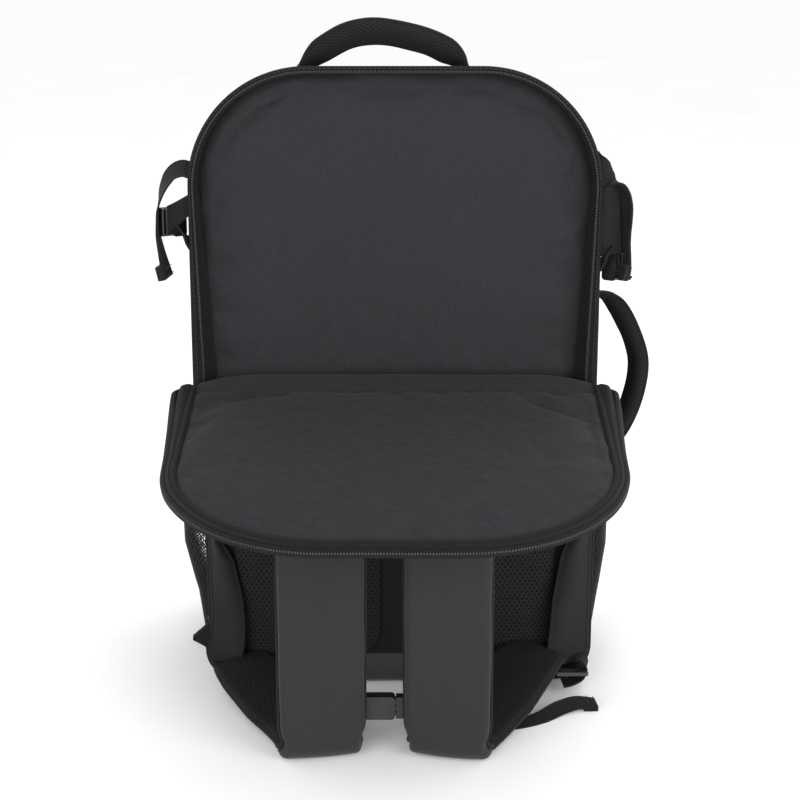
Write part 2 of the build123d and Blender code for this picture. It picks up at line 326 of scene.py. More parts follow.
def studs(name, path, up, pitch, size, material, body):
    """A row of small blocks along a path: zip teeth, or stitches. size is along, across and up."""
    path = np.asarray(path, float)
    along = lengths(path)
    count = max(2, int(along[-1] / pitch))
    wanted = (np.arange(count) + 0.5) * along[-1] / count

    def pick(values):
        values = np.broadcast_to(values, path.shape)
        return np.stack([np.interp(wanted, along, values[:, k]) for k in range(3)], 1)

    centre = pick(path)
    t = pick(tangents(path))
    t /= np.linalg.norm(t, axis=1, keepdims=True)
    u = squared(pick(np.asarray(up, float)), t)
    a = np.cross(t, u)
    verts = []
    for h, k in ((-0.5, 1.0), (0.5, STUD_TAPER)):
        for x, y in ((-0.5, -0.5), (0.5, -0.5), (0.5, 0.5), (-0.5, 0.5)):
            verts.append(centre + t * size[0] * x * k + a * size[1] * y * k + u * size[2] * h)
    verts = np.stack(verts, axis=1).reshape(-1, 3)
    block = np.array([(0, 3, 2, 1), (4, 5, 6, 7), (0, 1, 5, 4), (1, 2, 6, 5), (2, 3, 7, 6), (3, 0, 4, 7)])
    faces = (block[None] + 8 * np.arange(count)[:, None, None]).reshape(-1, 4).tolist()
    obj = mesh_piece(name, verts, faces, material, body)
    shade_smooth(obj, False)
    return obj


def padded_arch(name, outline, y_front, y_back, crown, material, body, edge=0.005, pucker=0.0008,
                soft=0.0012, seed=1, back_crown=None, place=None, count=260, spread=0.022):
    """A padded plate with a rounded edge: flat outline (half, low, high, r_low, r_high), swollen in the
    middle, puckered where the edge seam gathers it. place moves the finished points."""
    half, low, high, r_low, r_high = outline
    reach = min(half, (high - low) / 2) - 0.00002
    insets = np.concatenate([edge * (1 - np.cos(np.linspace(0, math.pi / 2, 6))),
                             np.arange(edge + 0.004, reach - 0.002, 0.0045), [reach]])
    middle = (y_front + y_back) / 2
    faces_y = ((y_front, -crown), (y_back, crown if back_crown is None else back_crown))
    verts, uvs, faces = [], [], []
    base = 0
    for layer, (y_face, swell) in enumerate(faces_y):
        rings = []
        for d in insets:
            line = arch(half - d, low + d, high - d, r_low - d, r_high - d, count)
            share = min(d / edge, 1.0)
            y = middle + (y_face - middle) * math.sqrt(1 - (1 - share) ** 2)
            y += swell * (1 - math.exp(-max(d - edge * 0.6, 0) / spread))
            rings.append(upright(line, y))
        P = np.array(rings)
        flat = P.reshape(-1, 3)
        depth = np.repeat(insets, count)
        around = np.tile(lengths(np.vstack([rings[0], rings[0][:1]]))[:-1], len(insets))
        ripple = rng_wave(np.stack([around, depth * 0.25, np.zeros_like(depth)], 1), 0.011, seed + layer)
        waves = rng_wave(flat, 0.07, seed + 4 + layer) + 0.45 * rng_wave(flat, 0.028, seed + 9 + layer)
        inside = 1 - np.exp(-depth / 0.012)
        gather = np.exp(-depth / 0.02) * (1 - np.exp(-depth / 0.003))
        sign = -1 if swell < 0 or (swell == 0 and y_face < middle) else 1
        flat[:, 1] += sign * (pucker * gather * ripple + soft * inside * waves)
        verts.append(flat)
        uvs.append(flat[:, (0, 2)])
        layer_faces = grid_faces(len(insets), count, wrap=True, start=base)
        if layer == 1:
            layer_faces = [f[::-1] for f in layer_faces]
        faces += layer_faces
        base += len(flat)
    verts = np.vstack(verts)
    if place is not None:
        verts = place(verts)
    obj = mesh_piece(name, verts, faces, material, None, np.vstack(uvs))
    weld(obj)
    if body:
        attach(obj, body)
    return obj


def weld(obj, distance=0.00012):
    """Joins points that lie together, and smooths the faces."""
    modifier(obj, "WELD", merge_threshold=distance)
    apply_modifiers(obj)
    shade_smooth(obj)


def soften(obj, amount, size, seed):
    """Small slow unevenness over a finished mesh, along its normals."""
    co = get_points(obj.data)
    normal = np.zeros(co.size)
    obj.data.vertex_normals.foreach_get("vector", normal)
    co += normal.reshape(-1, 3) * (amount * rng_wave(co, size, seed))[:, None]
    set_points(obj.data, co)


def inflated(obj, voxel, pressure, cap, slack=0.02, frames=20, hold=None):
    """Blows the closed piece up as cloth, with a little spare cloth so that it wrinkles, then keeps the
    result. hold picks the points that its seams keep in place. No point moves further than cap."""
    modifier(obj, "REMESH", mode="VOXEL", voxel_size=voxel, use_smooth_shade=True)
    apply_modifiers(obj)
    mesh = obj.data
    before = get_points(mesh)
    cloth = modifier(obj, "CLOTH")
    facts = dict(quality=5, mass=0.25, tension_stiffness=20, compression_stiffness=20, shear_stiffness=8,
                 bending_stiffness=0.4, use_pressure=True, uniform_pressure_force=pressure, shrink_min=-slack)
    for key, value in facts.items():
        setattr(cloth.settings, key, value)
    cloth.settings.effector_weights.gravity = 0
    cloth.collision_settings.use_collision = False
    if hold is not None:
        group = obj.vertex_groups.new(name="seams")
        group.add(np.flatnonzero(hold(before)).tolist(), 1.0, "REPLACE")
        cloth.settings.vertex_group_mass = "seams"
    for number in range(1, frames + 1):
        scene.frame_set(number)
    moved = obj.evaluated_get(bpy.context.evaluated_depsgraph_get())
    shift = get_points(moved.data) - before
    reach = np.maximum(np.linalg.norm(shift, axis=1, keepdims=True), 1e-9)
    shift *= np.minimum(1, cap * np.tanh(reach / cap) / reach)
    obj.modifiers.clear()
    obj.vertex_groups.clear()
    set_points(mesh, before + shift)
    scene.frame_set(1)
    modifier(obj, "SUBSURF", levels=1, render_levels=1)
    apply_modifiers(obj)


# ---------------------------------------------------------------- materials
def new_material(name, roughness, sheen=0.0, specular=0.2):
    material = bpy.data.materials.new(name)
    material.use_nodes = True
    nodes = material.node_tree.nodes
    shader = nodes["Principled BSDF"]
    shader.inputs["Roughness"].default_value = roughness
    shader.inputs["Specular IOR Level"].default_value = specular
    shader.inputs["Sheen Weight"].default_value = sheen
    shader.inputs["Sheen Roughness"].default_value = 0.45
    return material, nodes, material.node_tree.links, shader


class Nodes:
    """Short calls for building a node graph."""

    def __init__(self, material):
        self.nodes = material.node_tree.nodes
        self.links = material.node_tree.links

    def set(self, socket, value):
        if isinstance(value, bpy.types.NodeSocket):
            self.links.new(value, socket)
        elif value is not None:
            socket.default_value = value

    def math(self, operation, a, b=None):
        node = self.nodes.new("ShaderNodeMath")
        node.operation = operation
        self.set(node.inputs[0], a)
        self.set(node.inputs[1], b)
        return node.outputs[0]

    def vector(self, operation, a, b=None):
        node = self.nodes.new("ShaderNodeVectorMath")
        node.operation = operation
        self.set(node.inputs[0], a)
        self.set(node.inputs[1], b)
        return node.outputs["Value" if operation == "LENGTH" else "Vector"]

    def coordinates(self, kind="Object"):
        return self.nodes.new("ShaderNodeTexCoord").outputs[kind]

    def noise(self, vector, scale, detail=2.0):
        node = self.nodes.new("ShaderNodeTexNoise")
        self.set(node.inputs["Vector"], vector)
        node.inputs["Scale"].default_value = scale
        node.inputs["Detail"].default_value = detail
        return node.outputs["Fac"]

    def ramp(self, value, stops):
        node = self.nodes.new("ShaderNodeValToRGB")
        self.set(node.inputs[0], value)
        elements = node.color_ramp.elements
        while len(elements) < len(stops):
            elements.new(0.5)
        for element, (position, colour) in zip(elements, stops):
            element.position = position
            element.color = (*colour, 1)
        return node.outputs[0]

    def between(self, value, low, high, out_low=0.0, out_high=1.0):
        node = self.nodes.new("ShaderNodeMapRange")
        for socket, v in zip(node.inputs[:5], (value, low, high, out_low, out_high)):
            self.set(socket, v)
        return node.outputs[0]

    def bump(self, height, distance, strength):
        node = self.nodes.new("ShaderNodeBump")
        node.inputs["Distance"].default_value = distance
        node.inputs["Strength"].default_value = strength
        self.set(node.inputs["Height"], height)
        return node.outputs[0]


def scaled(colour, factor):
    return tuple(min(c * factor, 1) for c in colour)


def woven(name, colour, thread=0.0011, roughness=0.85, sheen=0.12, contrast=0.28, uv=False, patches=0.1):
    """Plain-woven cloth: crossing threads, heathered, with slow changes of tone."""
    material, _, links, shader = new_material(name, roughness, sheen)
    n = Nodes(material)
    at = n.coordinates("UV" if uv else "Object")
    cells = 1 / thread
    long_way = (0.14 * cells, cells, 1) if uv else (0.14 * cells, 0.14 * cells, cells)
    cross_way = (cells, 0.14 * cells, 1) if uv else (cells, cells, 0.14 * cells)
    along = n.noise(n.vector("MULTIPLY", at, long_way), 1.0, 1.0)
    across = n.noise(n.vector("MULTIPLY", at, cross_way), 1.0, 1.0)
    grain = n.math("MULTIPLY", n.math("ADD", along, across), 0.5)
    slow = n.noise(at, 9.0, 3.0)
    tone = n.math("ADD", grain, n.math("MULTIPLY", n.math("SUBTRACT", slow, 0.5), patches))
    links.new(n.ramp(tone, [(0.36, scaled(colour, 1 - contrast)), (0.5, colour),
                            (0.64, scaled(colour, 1 + contrast))]), shader.inputs["Base Color"])
    links.new(n.bump(grain, 0.00072, 0.5), shader.inputs["Normal"])
    links.new(n.between(grain, 0.35, 0.65, roughness - 0.07, roughness + 0.07), shader.inputs["Roughness"])
    return material


def ribbed(name, colour, rib):
    """Webbing, grosgrain or zip tape: ribs across its length, with v of the UV map along it."""
    material, _, links, shader = new_material(name, 0.7, 0.03, 0.14)
    n = Nodes(material)
    uv = n.coordinates("UV")
    split = n.nodes.new("ShaderNodeSeparateXYZ")
    links.new(uv, split.inputs[0])
    along = n.math("MULTIPLY", split.outputs[1], 2 * math.pi / rib)
    across = n.math("MULTIPLY", split.outputs[0], 2 * math.pi / (rib * 1.6))
    ribs = n.math("SINE", n.math("ADD", along, n.math("MULTIPLY", n.math("SINE", across), 0.9)))
    fuzz = n.noise(n.coordinates("Object"), 900.0, 2.0)
    fuzz = n.math("MULTIPLY", n.math("SUBTRACT", fuzz, 0.5), 0.5)
    tone = n.math("ADD", n.between(ribs, -1, 1, 0.25, 0.65), fuzz)
    colours = n.ramp(tone, [(0.2, scaled(colour, 0.62)), (0.75, scaled(colour, 1.35))])
    links.new(colours, shader.inputs["Base Color"])
    links.new(n.bump(ribs, 0.00035, 0.6), shader.inputs["Normal"])
    return material


def air_mesh(name, colour, pitch=0.0042, hole=0.26, depth=0.0012, dark=0.16):
    """Spacer mesh: staggered round holes through a knitted face."""
    material, _, links, shader = new_material(name, 0.8, 0.02, 0.14)
    n = Nodes(material)
    at = n.coordinates("UV")
    warp = n.noise(at, 60.0, 1.0)
    at = n.vector("ADD", n.vector("MULTIPLY", at, (1 / pitch, 1 / (pitch * 1.5), 0)),
                  n.vector("MULTIPLY", warp, (0.25, 0.25, 0)))
    near = []
    for shift in (0.0, 0.5):
        cell = n.vector("FRACTION", n.vector("ADD", at, (shift, shift, 0)))
        cell = n.vector("SUBTRACT", cell, (0.5, 0.5, 0))
        near.append(n.vector("LENGTH", n.vector("MULTIPLY", cell, (1.0, 1.35, 0))))
    distance = n.math("MINIMUM", *near)
    solid = n.between(distance, hole * 0.72, hole * 1.25)
    fuzz = n.noise(n.coordinates("Object"), 1300.0, 2.0)
    tone = n.math("MULTIPLY", solid, n.between(fuzz, 0.3, 0.7, 0.72, 1.0))
    links.new(n.ramp(tone, [(0.0, scaled(colour, dark)), (1.0, colour)]), shader.inputs["Base Color"])
    links.new(n.bump(tone, depth, 0.9), shader.inputs["Normal"])
    return material


def moulded(name, colour, roughness=0.42):
    """Injection-moulded plastic with a fine spark-eroded skin."""
    material, _, links, shader = new_material(name, roughness, 0.0, 0.45)
    n = Nodes(material)
    at = n.coordinates()
    skin = n.noise(at, 2600.0, 2.0)
    slow = n.noise(at, 60.0, 2.0)
    colours = n.ramp(slow, [(0.3, scaled(colour, 0.85)), (0.7, scaled(colour, 1.2))])
    links.new(colours, shader.inputs["Base Color"])
    links.new(n.between(slow, 0.3, 0.7, roughness - 0.08, roughness + 0.1), shader.inputs["Roughness"])
    links.new(n.bump(skin, 0.00008, 0.6), shader.inputs["Normal"])
    return material


LINING = woven("lining", (0.0132, 0.0132, 0.0156), contrast=0.26, patches=0.14, sheen=0.03)
SHELL = woven("shell", (0.0056, 0.0056, 0.0053), thread=0.0013, contrast=0.22, sheen=0.02)
STRAP = woven("strap_face", (0.0158, 0.0152, 0.0156), thread=0.0008, contrast=0.16, uv=True, sheen=0.08)
BASE_CLOTH = woven("base_cloth", (0.03, 0.029, 0.03), thread=0.0009, contrast=0.16, sheen=0.15)
BINDING_CLOTH = woven("binding_cloth", (0.004, 0.004, 0.0034), thread=0.0009, contrast=0.22, sheen=0.02)
WING_CLOTH = woven("wing_cloth", (0.0075, 0.0075, 0.0063), thread=0.001, contrast=0.22, sheen=0.04)
INNER = woven("inner_cloth", (0.03, 0.03, 0.032), contrast=0.2)
GRIP_CLOTH = woven("grip_cloth", (0.008, 0.008, 0.0072), thread=0.0009, contrast=0.2, sheen=0.04)
# Zip flange: the tape's inner side, made darkest of all as painted shade of the recess between teeth and
# divider
FLANGE_AND_SHADE = woven("zip_flange_and_shade", (0.003, 0.003, 0.003), thread=0.0009, contrast=0.2, sheen=0.02)
BINDING = ribbed("binding", (0.0072, 0.0072, 0.0058), rib=0.0016)
TAPE = ribbed("zip_tape", (0.005, 0.005, 0.0042), rib=0.0011)
WEBBING = ribbed("webbing", (0.008, 0.008, 0.0068), rib=0.0019)
MESH = air_mesh("pad_mesh", (0.0128, 0.0128, 0.013))
FINE_MESH = air_mesh("strap_mesh", (0.0096, 0.0096, 0.0106), pitch=0.003, hole=0.27, depth=0.0009)
PIPING = woven("piping", (0.006, 0.006, 0.0056), thread=0.0009, contrast=0.15, sheen=0.04)
THREAD = woven("thread", (0.016, 0.016, 0.0145), thread=0.0006, contrast=0.2, sheen=0.1, roughness=0.6)
TEETH = moulded("teeth", (0.021, 0.021, 0.019), 0.45)
PLASTIC = moulded("plastic", (0.0075, 0.0075, 0.008), 0.45)
METAL = moulded("slider_paint", (0.02, 0.02, 0.02), 0.35)
METAL.node_tree.nodes["Principled BSDF"].inputs["Metallic"].default_value = 0.75
BOARD = moulded("board", (0.05, 0.05, 0.05), 0.6)


def paint_cad():
    """Hard CAD nodes keep their shape, with eased edges and a better material."""
    looks = {"base_board": BOARD, "back_frame_sheet": BOARD}
    for node in frame["nodes"]:
        if "slider" in node:
            looks[node] = PLASTIC if node.startswith("sternum") else METAL
        if "buckle" in node or node.startswith("ladder_lock"):
            looks[node] = PLASTIC
    for node, material in looks.items():
        obj = frame["nodes"][node]
        obj.data.materials.clear()
        obj.data.materials.append(material)
        if material in (PLASTIC, METAL):
            modifier(obj, "BEVEL", width=0.0007, segments=2, limit_method="ANGLE")


# ---------------------------------------------------------------- bag body
SECTIONS = np.array([
    (BACK_Y, RIM_HALF, RIM_HIGH, BOTTOM_RADIUS, RIM_RADIUS),
    (-0.03, RIM_HALF + 0.002, HEIGHT - 0.012, BOTTOM_RADIUS, RIM_RADIUS),
    (SEAM_Y, HALF, HEIGHT - 0.04, BOTTOM_RADIUS, RIM_RADIUS),
    (0.085, HALF - 0.008, HEIGHT - 0.058, BOTTOM_RADIUS, RIM_RADIUS - 0.003),
    (FRONT_Y, HALF - 0.028, HEIGHT - 0.092, BOTTOM_RADIUS - 0.002, RIM_RADIUS - 0.01),
])


def outline_at(y, inset, count):
    half, high, r_low, r_high = [np.interp(y, SECTIONS[:, 0], SECTIONS[:, k]) for k in range(1, 5)]
    return arch(half - inset, inset, high - inset, r_low - inset, r_high - inset, count)


def shell_points(y_list, inset, count, slack=0.0, seed=3):
    """The bag's wall as a grid: one ring per depth, sagging a little between its seams."""
    P = np.array([upright(outline_at(y, inset, count), y) for y in y_list])
    if slack:
        flat = P.reshape(-1, 3)
        centre = np.array([0, 0, 0.24])
        away = flat - centre
        away[:, 1] = 0
        away /= np.maximum(np.linalg.norm(away, axis=1, keepdims=True), 1e-9)
        t = (flat[:, 1] - y_list[0]) / (y_list[-1] - y_list[0])
        between = np.sin(np.clip(t, 0, 1) * math.pi) ** 0.7
        folds = rng_wave(flat * (1, 0.35, 1), 0.055, seed)
        folds += 0.5 * rng_wave(flat * (1, 0.5, 1), 0.022, seed + 2)
        free = np.clip((flat[:, 2] - 0.012) / 0.03, 0, 1)
        flat += away * (slack * between * free * (folds - 0.45))[:, None]
    return P


def settled(points):
    """The empty bag's left flank sinks inwards over its lower third."""
    p = np.array(points, float)
    x, z = p[..., 0], p[..., 2]
    share = np.interp(z, [0.0, 0.02, 0.06, 0.14, 0.2, 0.26], [0.15, 0.5, 1.0, 0.85, 0.35, 0.0])
    p[..., 0] = x + 0.009 * share * (0.5 - 0.5 * x / RIM_HALF)
    return p


def settle(obj):
    """Lets a finished mesh sink in with the left flank."""
    set_points(obj.data, settled(get_points(obj.data)))


def edge_depth(points, outline):
    """How far inside the outline's sides and top each upright point is."""
    half, low, high, _, radius = outline
    x, z = np.abs(points[:, 0]), points[:, 2]
    depth = np.minimum(np.minimum(half - x, high - z), z - low)
    across, up = x - (half - radius), z - (high - radius)
    corner = (across > 0) & (up > 0)
    return np.where(corner, radius - np.hypot(across, up), depth)


def make_shell():
    """The bag's outer wall round its sides, top and base, with its lining."""
    y_list = np.linspace(BACK_Y, SEAM_Y, 34)
    count = 320
    outer = shell_points(y_list, 0, count, slack=0.003)
    inner = shell_points(y_list, WALL, count)
    n = len(y_list) * count
    faces = [f[::-1] for f in grid_faces(len(y_list), count, wrap=True)]
    faces += grid_faces(len(y_list), count, wrap=True, start=n)
    for ring, flip in ((0, False), (len(y_list) - 1, True)):
        a = ring * count
        quads = [[a + k, a + (k + 1) % count, a + n + (k + 1) % count, a + n + k] for k in range(count)]
        faces += [q[::-1] for q in quads] if flip else quads
    which = [0] * (n - count) + [1] * (n - count) + [0] * (2 * count)
    verts = settled(np.vstack([outer.reshape(-1, 3), inner.reshape(-1, 3)]))
    shell = mesh_piece("bag_shell", verts, faces, [SHELL, INNER], "bag", face_materials=which)
    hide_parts("gusset")
    kick = make_kick()
    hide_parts("base_tray")
    low_seam = settled(upright(outline_at(BACK_Y, 0, 300), BACK_Y - 0.0004))
    tube("back_seam_piping", low_seam[low_seam[:, 2] < COVER_TOP], 0.0017, PIPING, "bag")


def make_kick():
    """The fixed strip under the front panel, and the tray's front."""
    y_list = np.linspace(SEAM_Y, FRONT_Y, 14)
    rows = []
    for y in y_list:
        line = outline_at(y, 0, 900)
        right = line[(line[:, 1] <= KICK) & (line[:, 0] >= 0)]
        right = right[np.argsort(right[:, 1] * 10 + right[:, 0])]
        right = np.vstack([right, [(right[-1, 0], KICK)]])
        half = resample(right, 40)
        rows.append(upright(np.vstack([half[::-1], half[1:] * (-1, 1)]), y))
    last = rows[-1]
    for share in np.linspace(0.12, 1, 8):
        raised = last.copy()
        raised[:, 2] = last[:, 2] + (KICK - last[:, 2]) * share
        raised[:, 1] = FRONT_Y + 0.0008 * math.sin(share * math.pi)
        rows.append(raised)
    P = np.array(rows)[:, ::-1]
    return thick_sheet("front_kick", P, WALL, SHELL, "bag", INNER)


def make_divider():
    """The padded wall behind the laptop."""
    low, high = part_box("divider_cover")
    outline = (RIM_HALF - WALL, low[2], RIM_HIGH - WALL, BOTTOM_RADIUS - WALL, RIM_RADIUS - WALL)
    piece = padded_arch("divider", outline, -0.0855, high[1], 0.0045, LINING, None,
                        edge=0.006, pucker=0.0012, soft=0.0013, seed=2, back_crown=0.001)
    inflated(piece, 0.0055, 3.0, 0.0045, slack=0.035,
             hold=lambda p: (p[:, 1] > -0.078) | (edge_depth(p, outline) < 0.009))
    soften(piece, 0.0005, 0.012, 3)
    settle(piece)
    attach(piece, "bag")
    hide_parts("divider_cover", "divider_foam")


def make_lower_back():
    """The fixed lower back: cover, two mesh pads and the roll along its foot."""
    low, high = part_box("lower_back_cover")
    outline = (RIM_HALF - 0.001, low[2] + 0.001, high[2], BOTTOM_RADIUS, 0.004)
    cover = padded_arch("lower_back", outline, low[1], high[1], 0.0012, BINDING_CLOTH, "bag",
                        edge=0.0055, pucker=0.0004, soft=0.0006, seed=12, back_crown=0.0, place=settled)
    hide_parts("lower_back_cover")
    for side, s in SIDES:
        a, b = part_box(f"back_pad_{side}")
        middle = (a[0] + b[0]) / 2
        pad_outline = ((b[0] - a[0]) / 2, a[2], b[2], 0.022, 0.014)
        shift = lambda p, m=middle: p + np.array((m, 0, 0))
        pad = padded_arch(f"back_mesh_{side}", pad_outline, a[1], b[1] + 0.002, 0.004, MESH, "bag",
                          edge=0.006, pucker=0.0009, soft=0.001, seed=20 + s, back_crown=0.0,
                          place=shift)
        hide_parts(f"back_pad_{side}")
    half = 0.128
    x = np.linspace(-half, half, 90)
    profile = [(-0.104, 0.0016), (-0.11, 0.0018), (-0.115, 0.005), (-0.117, 0.011), (-0.1165, 0.018),
               (-0.1145, 0.024), (-0.113, 0.0275)]
    profile = curve_through(np.array([(0, *p) for p in profile]), 20)[:, 1:]
    sink = (np.abs(x) / half) ** 3
    P = np.array([[(xx, p[0] + 0.005 * k, p[1] * (1 - 0.25 * k)) for p in profile] for xx, k in zip(x, sink)])
    flat = P.reshape(-1, 3)
    flat[:, 1] -= 0.001 * rng_wave(flat, 0.03, 31)
    roll = thick_sheet("foot_roll", P, 0.0012, BASE_CLOTH, "bag")


# ---------------------------------------------------------------- zips
def rim_line(inset, y, count, bottom=0.244):
    """A line at depth y round the bay's mouth, inset from the bag's outer edge."""
    return upright(open_arch(RIM_HALF - inset, bottom, RIM_HIGH - inset, RIM_RADIUS - inset, count), y)


def make_bay_zip():
    """The bag's half: outer binding, tape that turns in to the teeth, and the flange inside them, coloured
    darker as painted shade of the recess before the divider.
    """
    count = 520
    rim = rim_line(0, 0, count)
    inwards = (rim_line(0.01, 0, count) - rim) / 0.01
    spread = 0.55 + 0.75 * np.clip((0.43 - rim[:, 2]) / 0.15, 0, 1)

    def line_at(inset, y):
        line = rim + inwards * (inset * spread)[:, None]
        line[:, 1] = y
        return line

    profile = ((-0.0004, -0.0992), (-0.0002, -0.1015), (0.001, -0.103), (0.0026, -0.1037), (0.004, -0.1036),
               (0.005, -0.103), (0.0058, -0.1034), (0.0068, -0.1038), (0.0078, -0.103))
    P = np.stack([line_at(*step) for step in profile], axis=1)
    flat = P.reshape(-1, 3)
    flat[:, 1] += 0.0004 * rng_wave(flat, 0.02, 41)
    tape = thick_sheet("bay_tape_bag", P, 0.0009, TAPE, "bag")
    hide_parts("bay_zip_bag_side")
    # The flange runs from the teeth back into the recess before the divider; its dark colour is partly the
    # tape's inner side, partly painted shade
    inner = ((0.0076, -0.103), (0.0086, -0.1006), (0.0102, -0.0975), (0.0122, -0.094), (0.014, -0.089))
    Q = np.stack([line_at(*step) for step in inner], axis=1)
    thick_sheet("bay_flange_and_shade_bag", Q, 0.0009, FLANGE_AND_SHADE, "bag")
    studs("bay_teeth_bag", line_at(0.007, -0.104), (0, -1, 0), 0.0021, (0.0012, 0.0017, 0.0014), TEETH,
          "bag")
    studs("bay_tape_stitch_bag", line_at(0.003, -0.104), (0, -1, 0), 0.004, (0.0026, 0.0005, 0.0004),
          THREAD, "bag")


def make_flap():
    """The flap's padded body, lining upwards, with the pads and yoke on its outer face."""
    outline = (FLAP_HALF + 0.0032, FOLD_Z + 0.0015, FLAP_HIGH + 0.0034, 0.005, FLAP_RADIUS - 0.002)
    body = padded_arch("flap_body", outline, -0.1115, -0.1018, 0.002, [LINING, SHELL], None,
                       edge=0.006, pucker=0.0014, soft=0.0015, seed=5, back_crown=0.0048, place=opened,
                       spread=0.024)
    inflated(body, 0.005, 3.0, 0.004, slack=0.035,
             hold=lambda p: edge_depth(opened(p, -OPEN_ANGLE), outline) < 0.007)
    soften(body, 0.0006, 0.012, 6)
    normal = np.zeros(len(body.data.polygons) * 3)
    body.data.polygons.foreach_get("normal", normal)
    body.data.polygons.foreach_set("material_index", (normal.reshape(-1, 3)[:, 2] < -0.3).astype(int))
    shade_smooth(body)
    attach(body, "flap")
    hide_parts("flap_cover", "flap_foam")
    for side, s in SIDES:
        outline = (0.061, FOLD_Z + 0.006, 0.383, 0.014, 0.014)
        shift = lambda p, m=s * 0.074: opened(p + np.array((m, 0, 0)))
        pad = padded_arch(f"flap_mesh_{side}", outline, -0.1198, -0.1118, 0.001, MESH, "flap",
                          edge=0.006, pucker=0.0008, soft=0.0008, seed=50 + s, back_crown=0.0, place=shift)
        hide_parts(f"flap_pad_{side}")
    make_yoke()


def make_yoke():
    """The cloth patch that both straps are sewn to, with its two rows of stitches."""
    half, low, high = 0.118, 0.386, 0.424
    x = np.linspace(-half, half, 60)
    P = np.array([[(xx, -0.1145 - 0.0012 * math.sin((z - low) / 0.038 * math.pi), z)
                   for z in np.linspace(low, high, 14)] for xx in x])
    flat = P.reshape(-1, 3)
    flat[:, 1] += 0.0005 * rng_wave(flat, 0.02, 61)
    yoke = thick_sheet("yoke", opened(P), 0.0016, SHELL, "flap")
    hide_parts("strap_yoke")
    for z in (0.389, 0.421):
        line = np.stack([x, np.full_like(x, -0.116), np.full_like(x, z)], 1)
        outwards = opened(line + (0, -0.01, 0))[0] - opened(line)[0]
        studs(f"yoke_stitch_{int(z * 1000)}", opened(line), outwards, 0.004, (0.0028, 0.0006, 0.0005), THREAD,
              "flap")


def make_flap_zip():
    """The flap's half: a soft welt along the lining's edge, and the tape outside it, which flares towards
    the fold and stands up there in two rounded lobes."""
    count = 360
    base = upright(open_arch(FLAP_HALF, FOLD_Z - 0.004, FLAP_HIGH, FLAP_RADIUS, count), 0)
    run = lengths(base)
    to_end = np.minimum(run, run[-1] - run)
    flare = 1 + 0.95 * np.exp(-(to_end / 0.105) ** 2)
    stand = np.exp(-(to_end / 0.03) ** 2)
    turn_in = np.clip(to_end / 0.014, 0, 1)
    round_off = np.sqrt(turn_in * (2 - turn_in))
    across = np.cross(tangents(base), (0, 1, 0))
    across *= np.sign(((base - (0, 0, 0.36)) * across).sum(1))[:, None]
    wave = rng_wave(base, 0.05, 72)

    def line_at(reach, y, lift):
        line = base + across * (reach * flare * (0.3 + 0.7 * round_off) + 0.0006 * wave)[:, None]
        line[:, 1] = y + stand * lift * (0.2 + 0.8 * round_off)
        return line

    profile = ((0.0018, -0.1044, 0.001), (0.003, -0.1028, 0.002), (0.0046, -0.1021, 0.005),
               (0.0056, -0.1026, 0.005), (0.0062, -0.104, 0.003), (0.0067, -0.1047, 0.000),
               (0.0074, -0.1042, 0.001), (0.0082, -0.1042, 0.002), (0.009, -0.1056, 0.003),
               (0.0092, -0.1074, 0.003), (0.009, -0.109, 0.003))
    P = np.stack([line_at(*step) for step in profile], axis=1)
    tape = thick_sheet("bay_tape_flap", opened(P)[:, ::-1], 0.001, TAPE, None)
    welt_line = line_at(0.001, -0.103, 0.001)
    welt = tube("bay_welt_flap", opened(welt_line), 0.0031 - 0.0008 * stand, BINDING_CLOTH,
                sides=14)
    chain = P[:, 8] + across * 0.0004
    outwards = opened(chain + across * 0.01 + (0, 0.002, 0)) - opened(chain)
    teeth = studs("bay_teeth_flap", opened(chain), outwards, 0.0021, (0.0012, 0.0019, 0.0018), TEETH, None)
    sewing = studs("bay_tape_stitch_flap", opened(P[:, 2]) + (0, 0, 0.0003), (0, 0, 1), 0.004,
                   (0.0026, 0.0005, 0.0004), THREAD, None)
    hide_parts("bay_zip_flap_side")
    for piece in (tape, welt, teeth, sewing):
        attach(piece, "flap")
        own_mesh(piece)


def make_fold_lining():
    """Cloth that bridges the fold: a soft roll inside, a plain strip outside."""
    half = RIM_HALF - 0.005
    x = np.linspace(-half, half, 80)
    inside = [(-0.0965, 0.237), (-0.097, 0.252), (-0.0995, 0.2645), (-0.108, 0.2722), (-0.119, 0.2728),
              (-0.129, 0.269), (-0.137, 0.2646), (-0.144, 0.2602), (-0.151, 0.2552), (-0.158, 0.25)]
    outside = [(-0.1117, 0.237), (-0.1165, 0.242), (-0.12, 0.244), (-0.126, 0.245), (-0.13, 0.2456)]
    for name, profile, material in (("fold_lining", inside, LINING), ("fold_cover", outside, SHELL)):
        line = curve_through(np.array([(0, *p) for p in profile]), 26)[:, 1:]
        drop = 0.008 * np.clip((np.abs(x) - half + 0.05) / 0.05, 0, 1) ** 2
        P = np.array([[(xx, y, z - d * np.clip((z - 0.245) / 0.02, 0, 1)) for y, z in line]
                      for xx, d in zip(x, drop)])
        flat = P.reshape(-1, 3)
        flat[:, 2] += 0.0006 * rng_wave(flat * (1, 0.3, 0.3), 0.06, 81)
        piece = thick_sheet(name, P, 0.0008, material, None)
        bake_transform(piece)


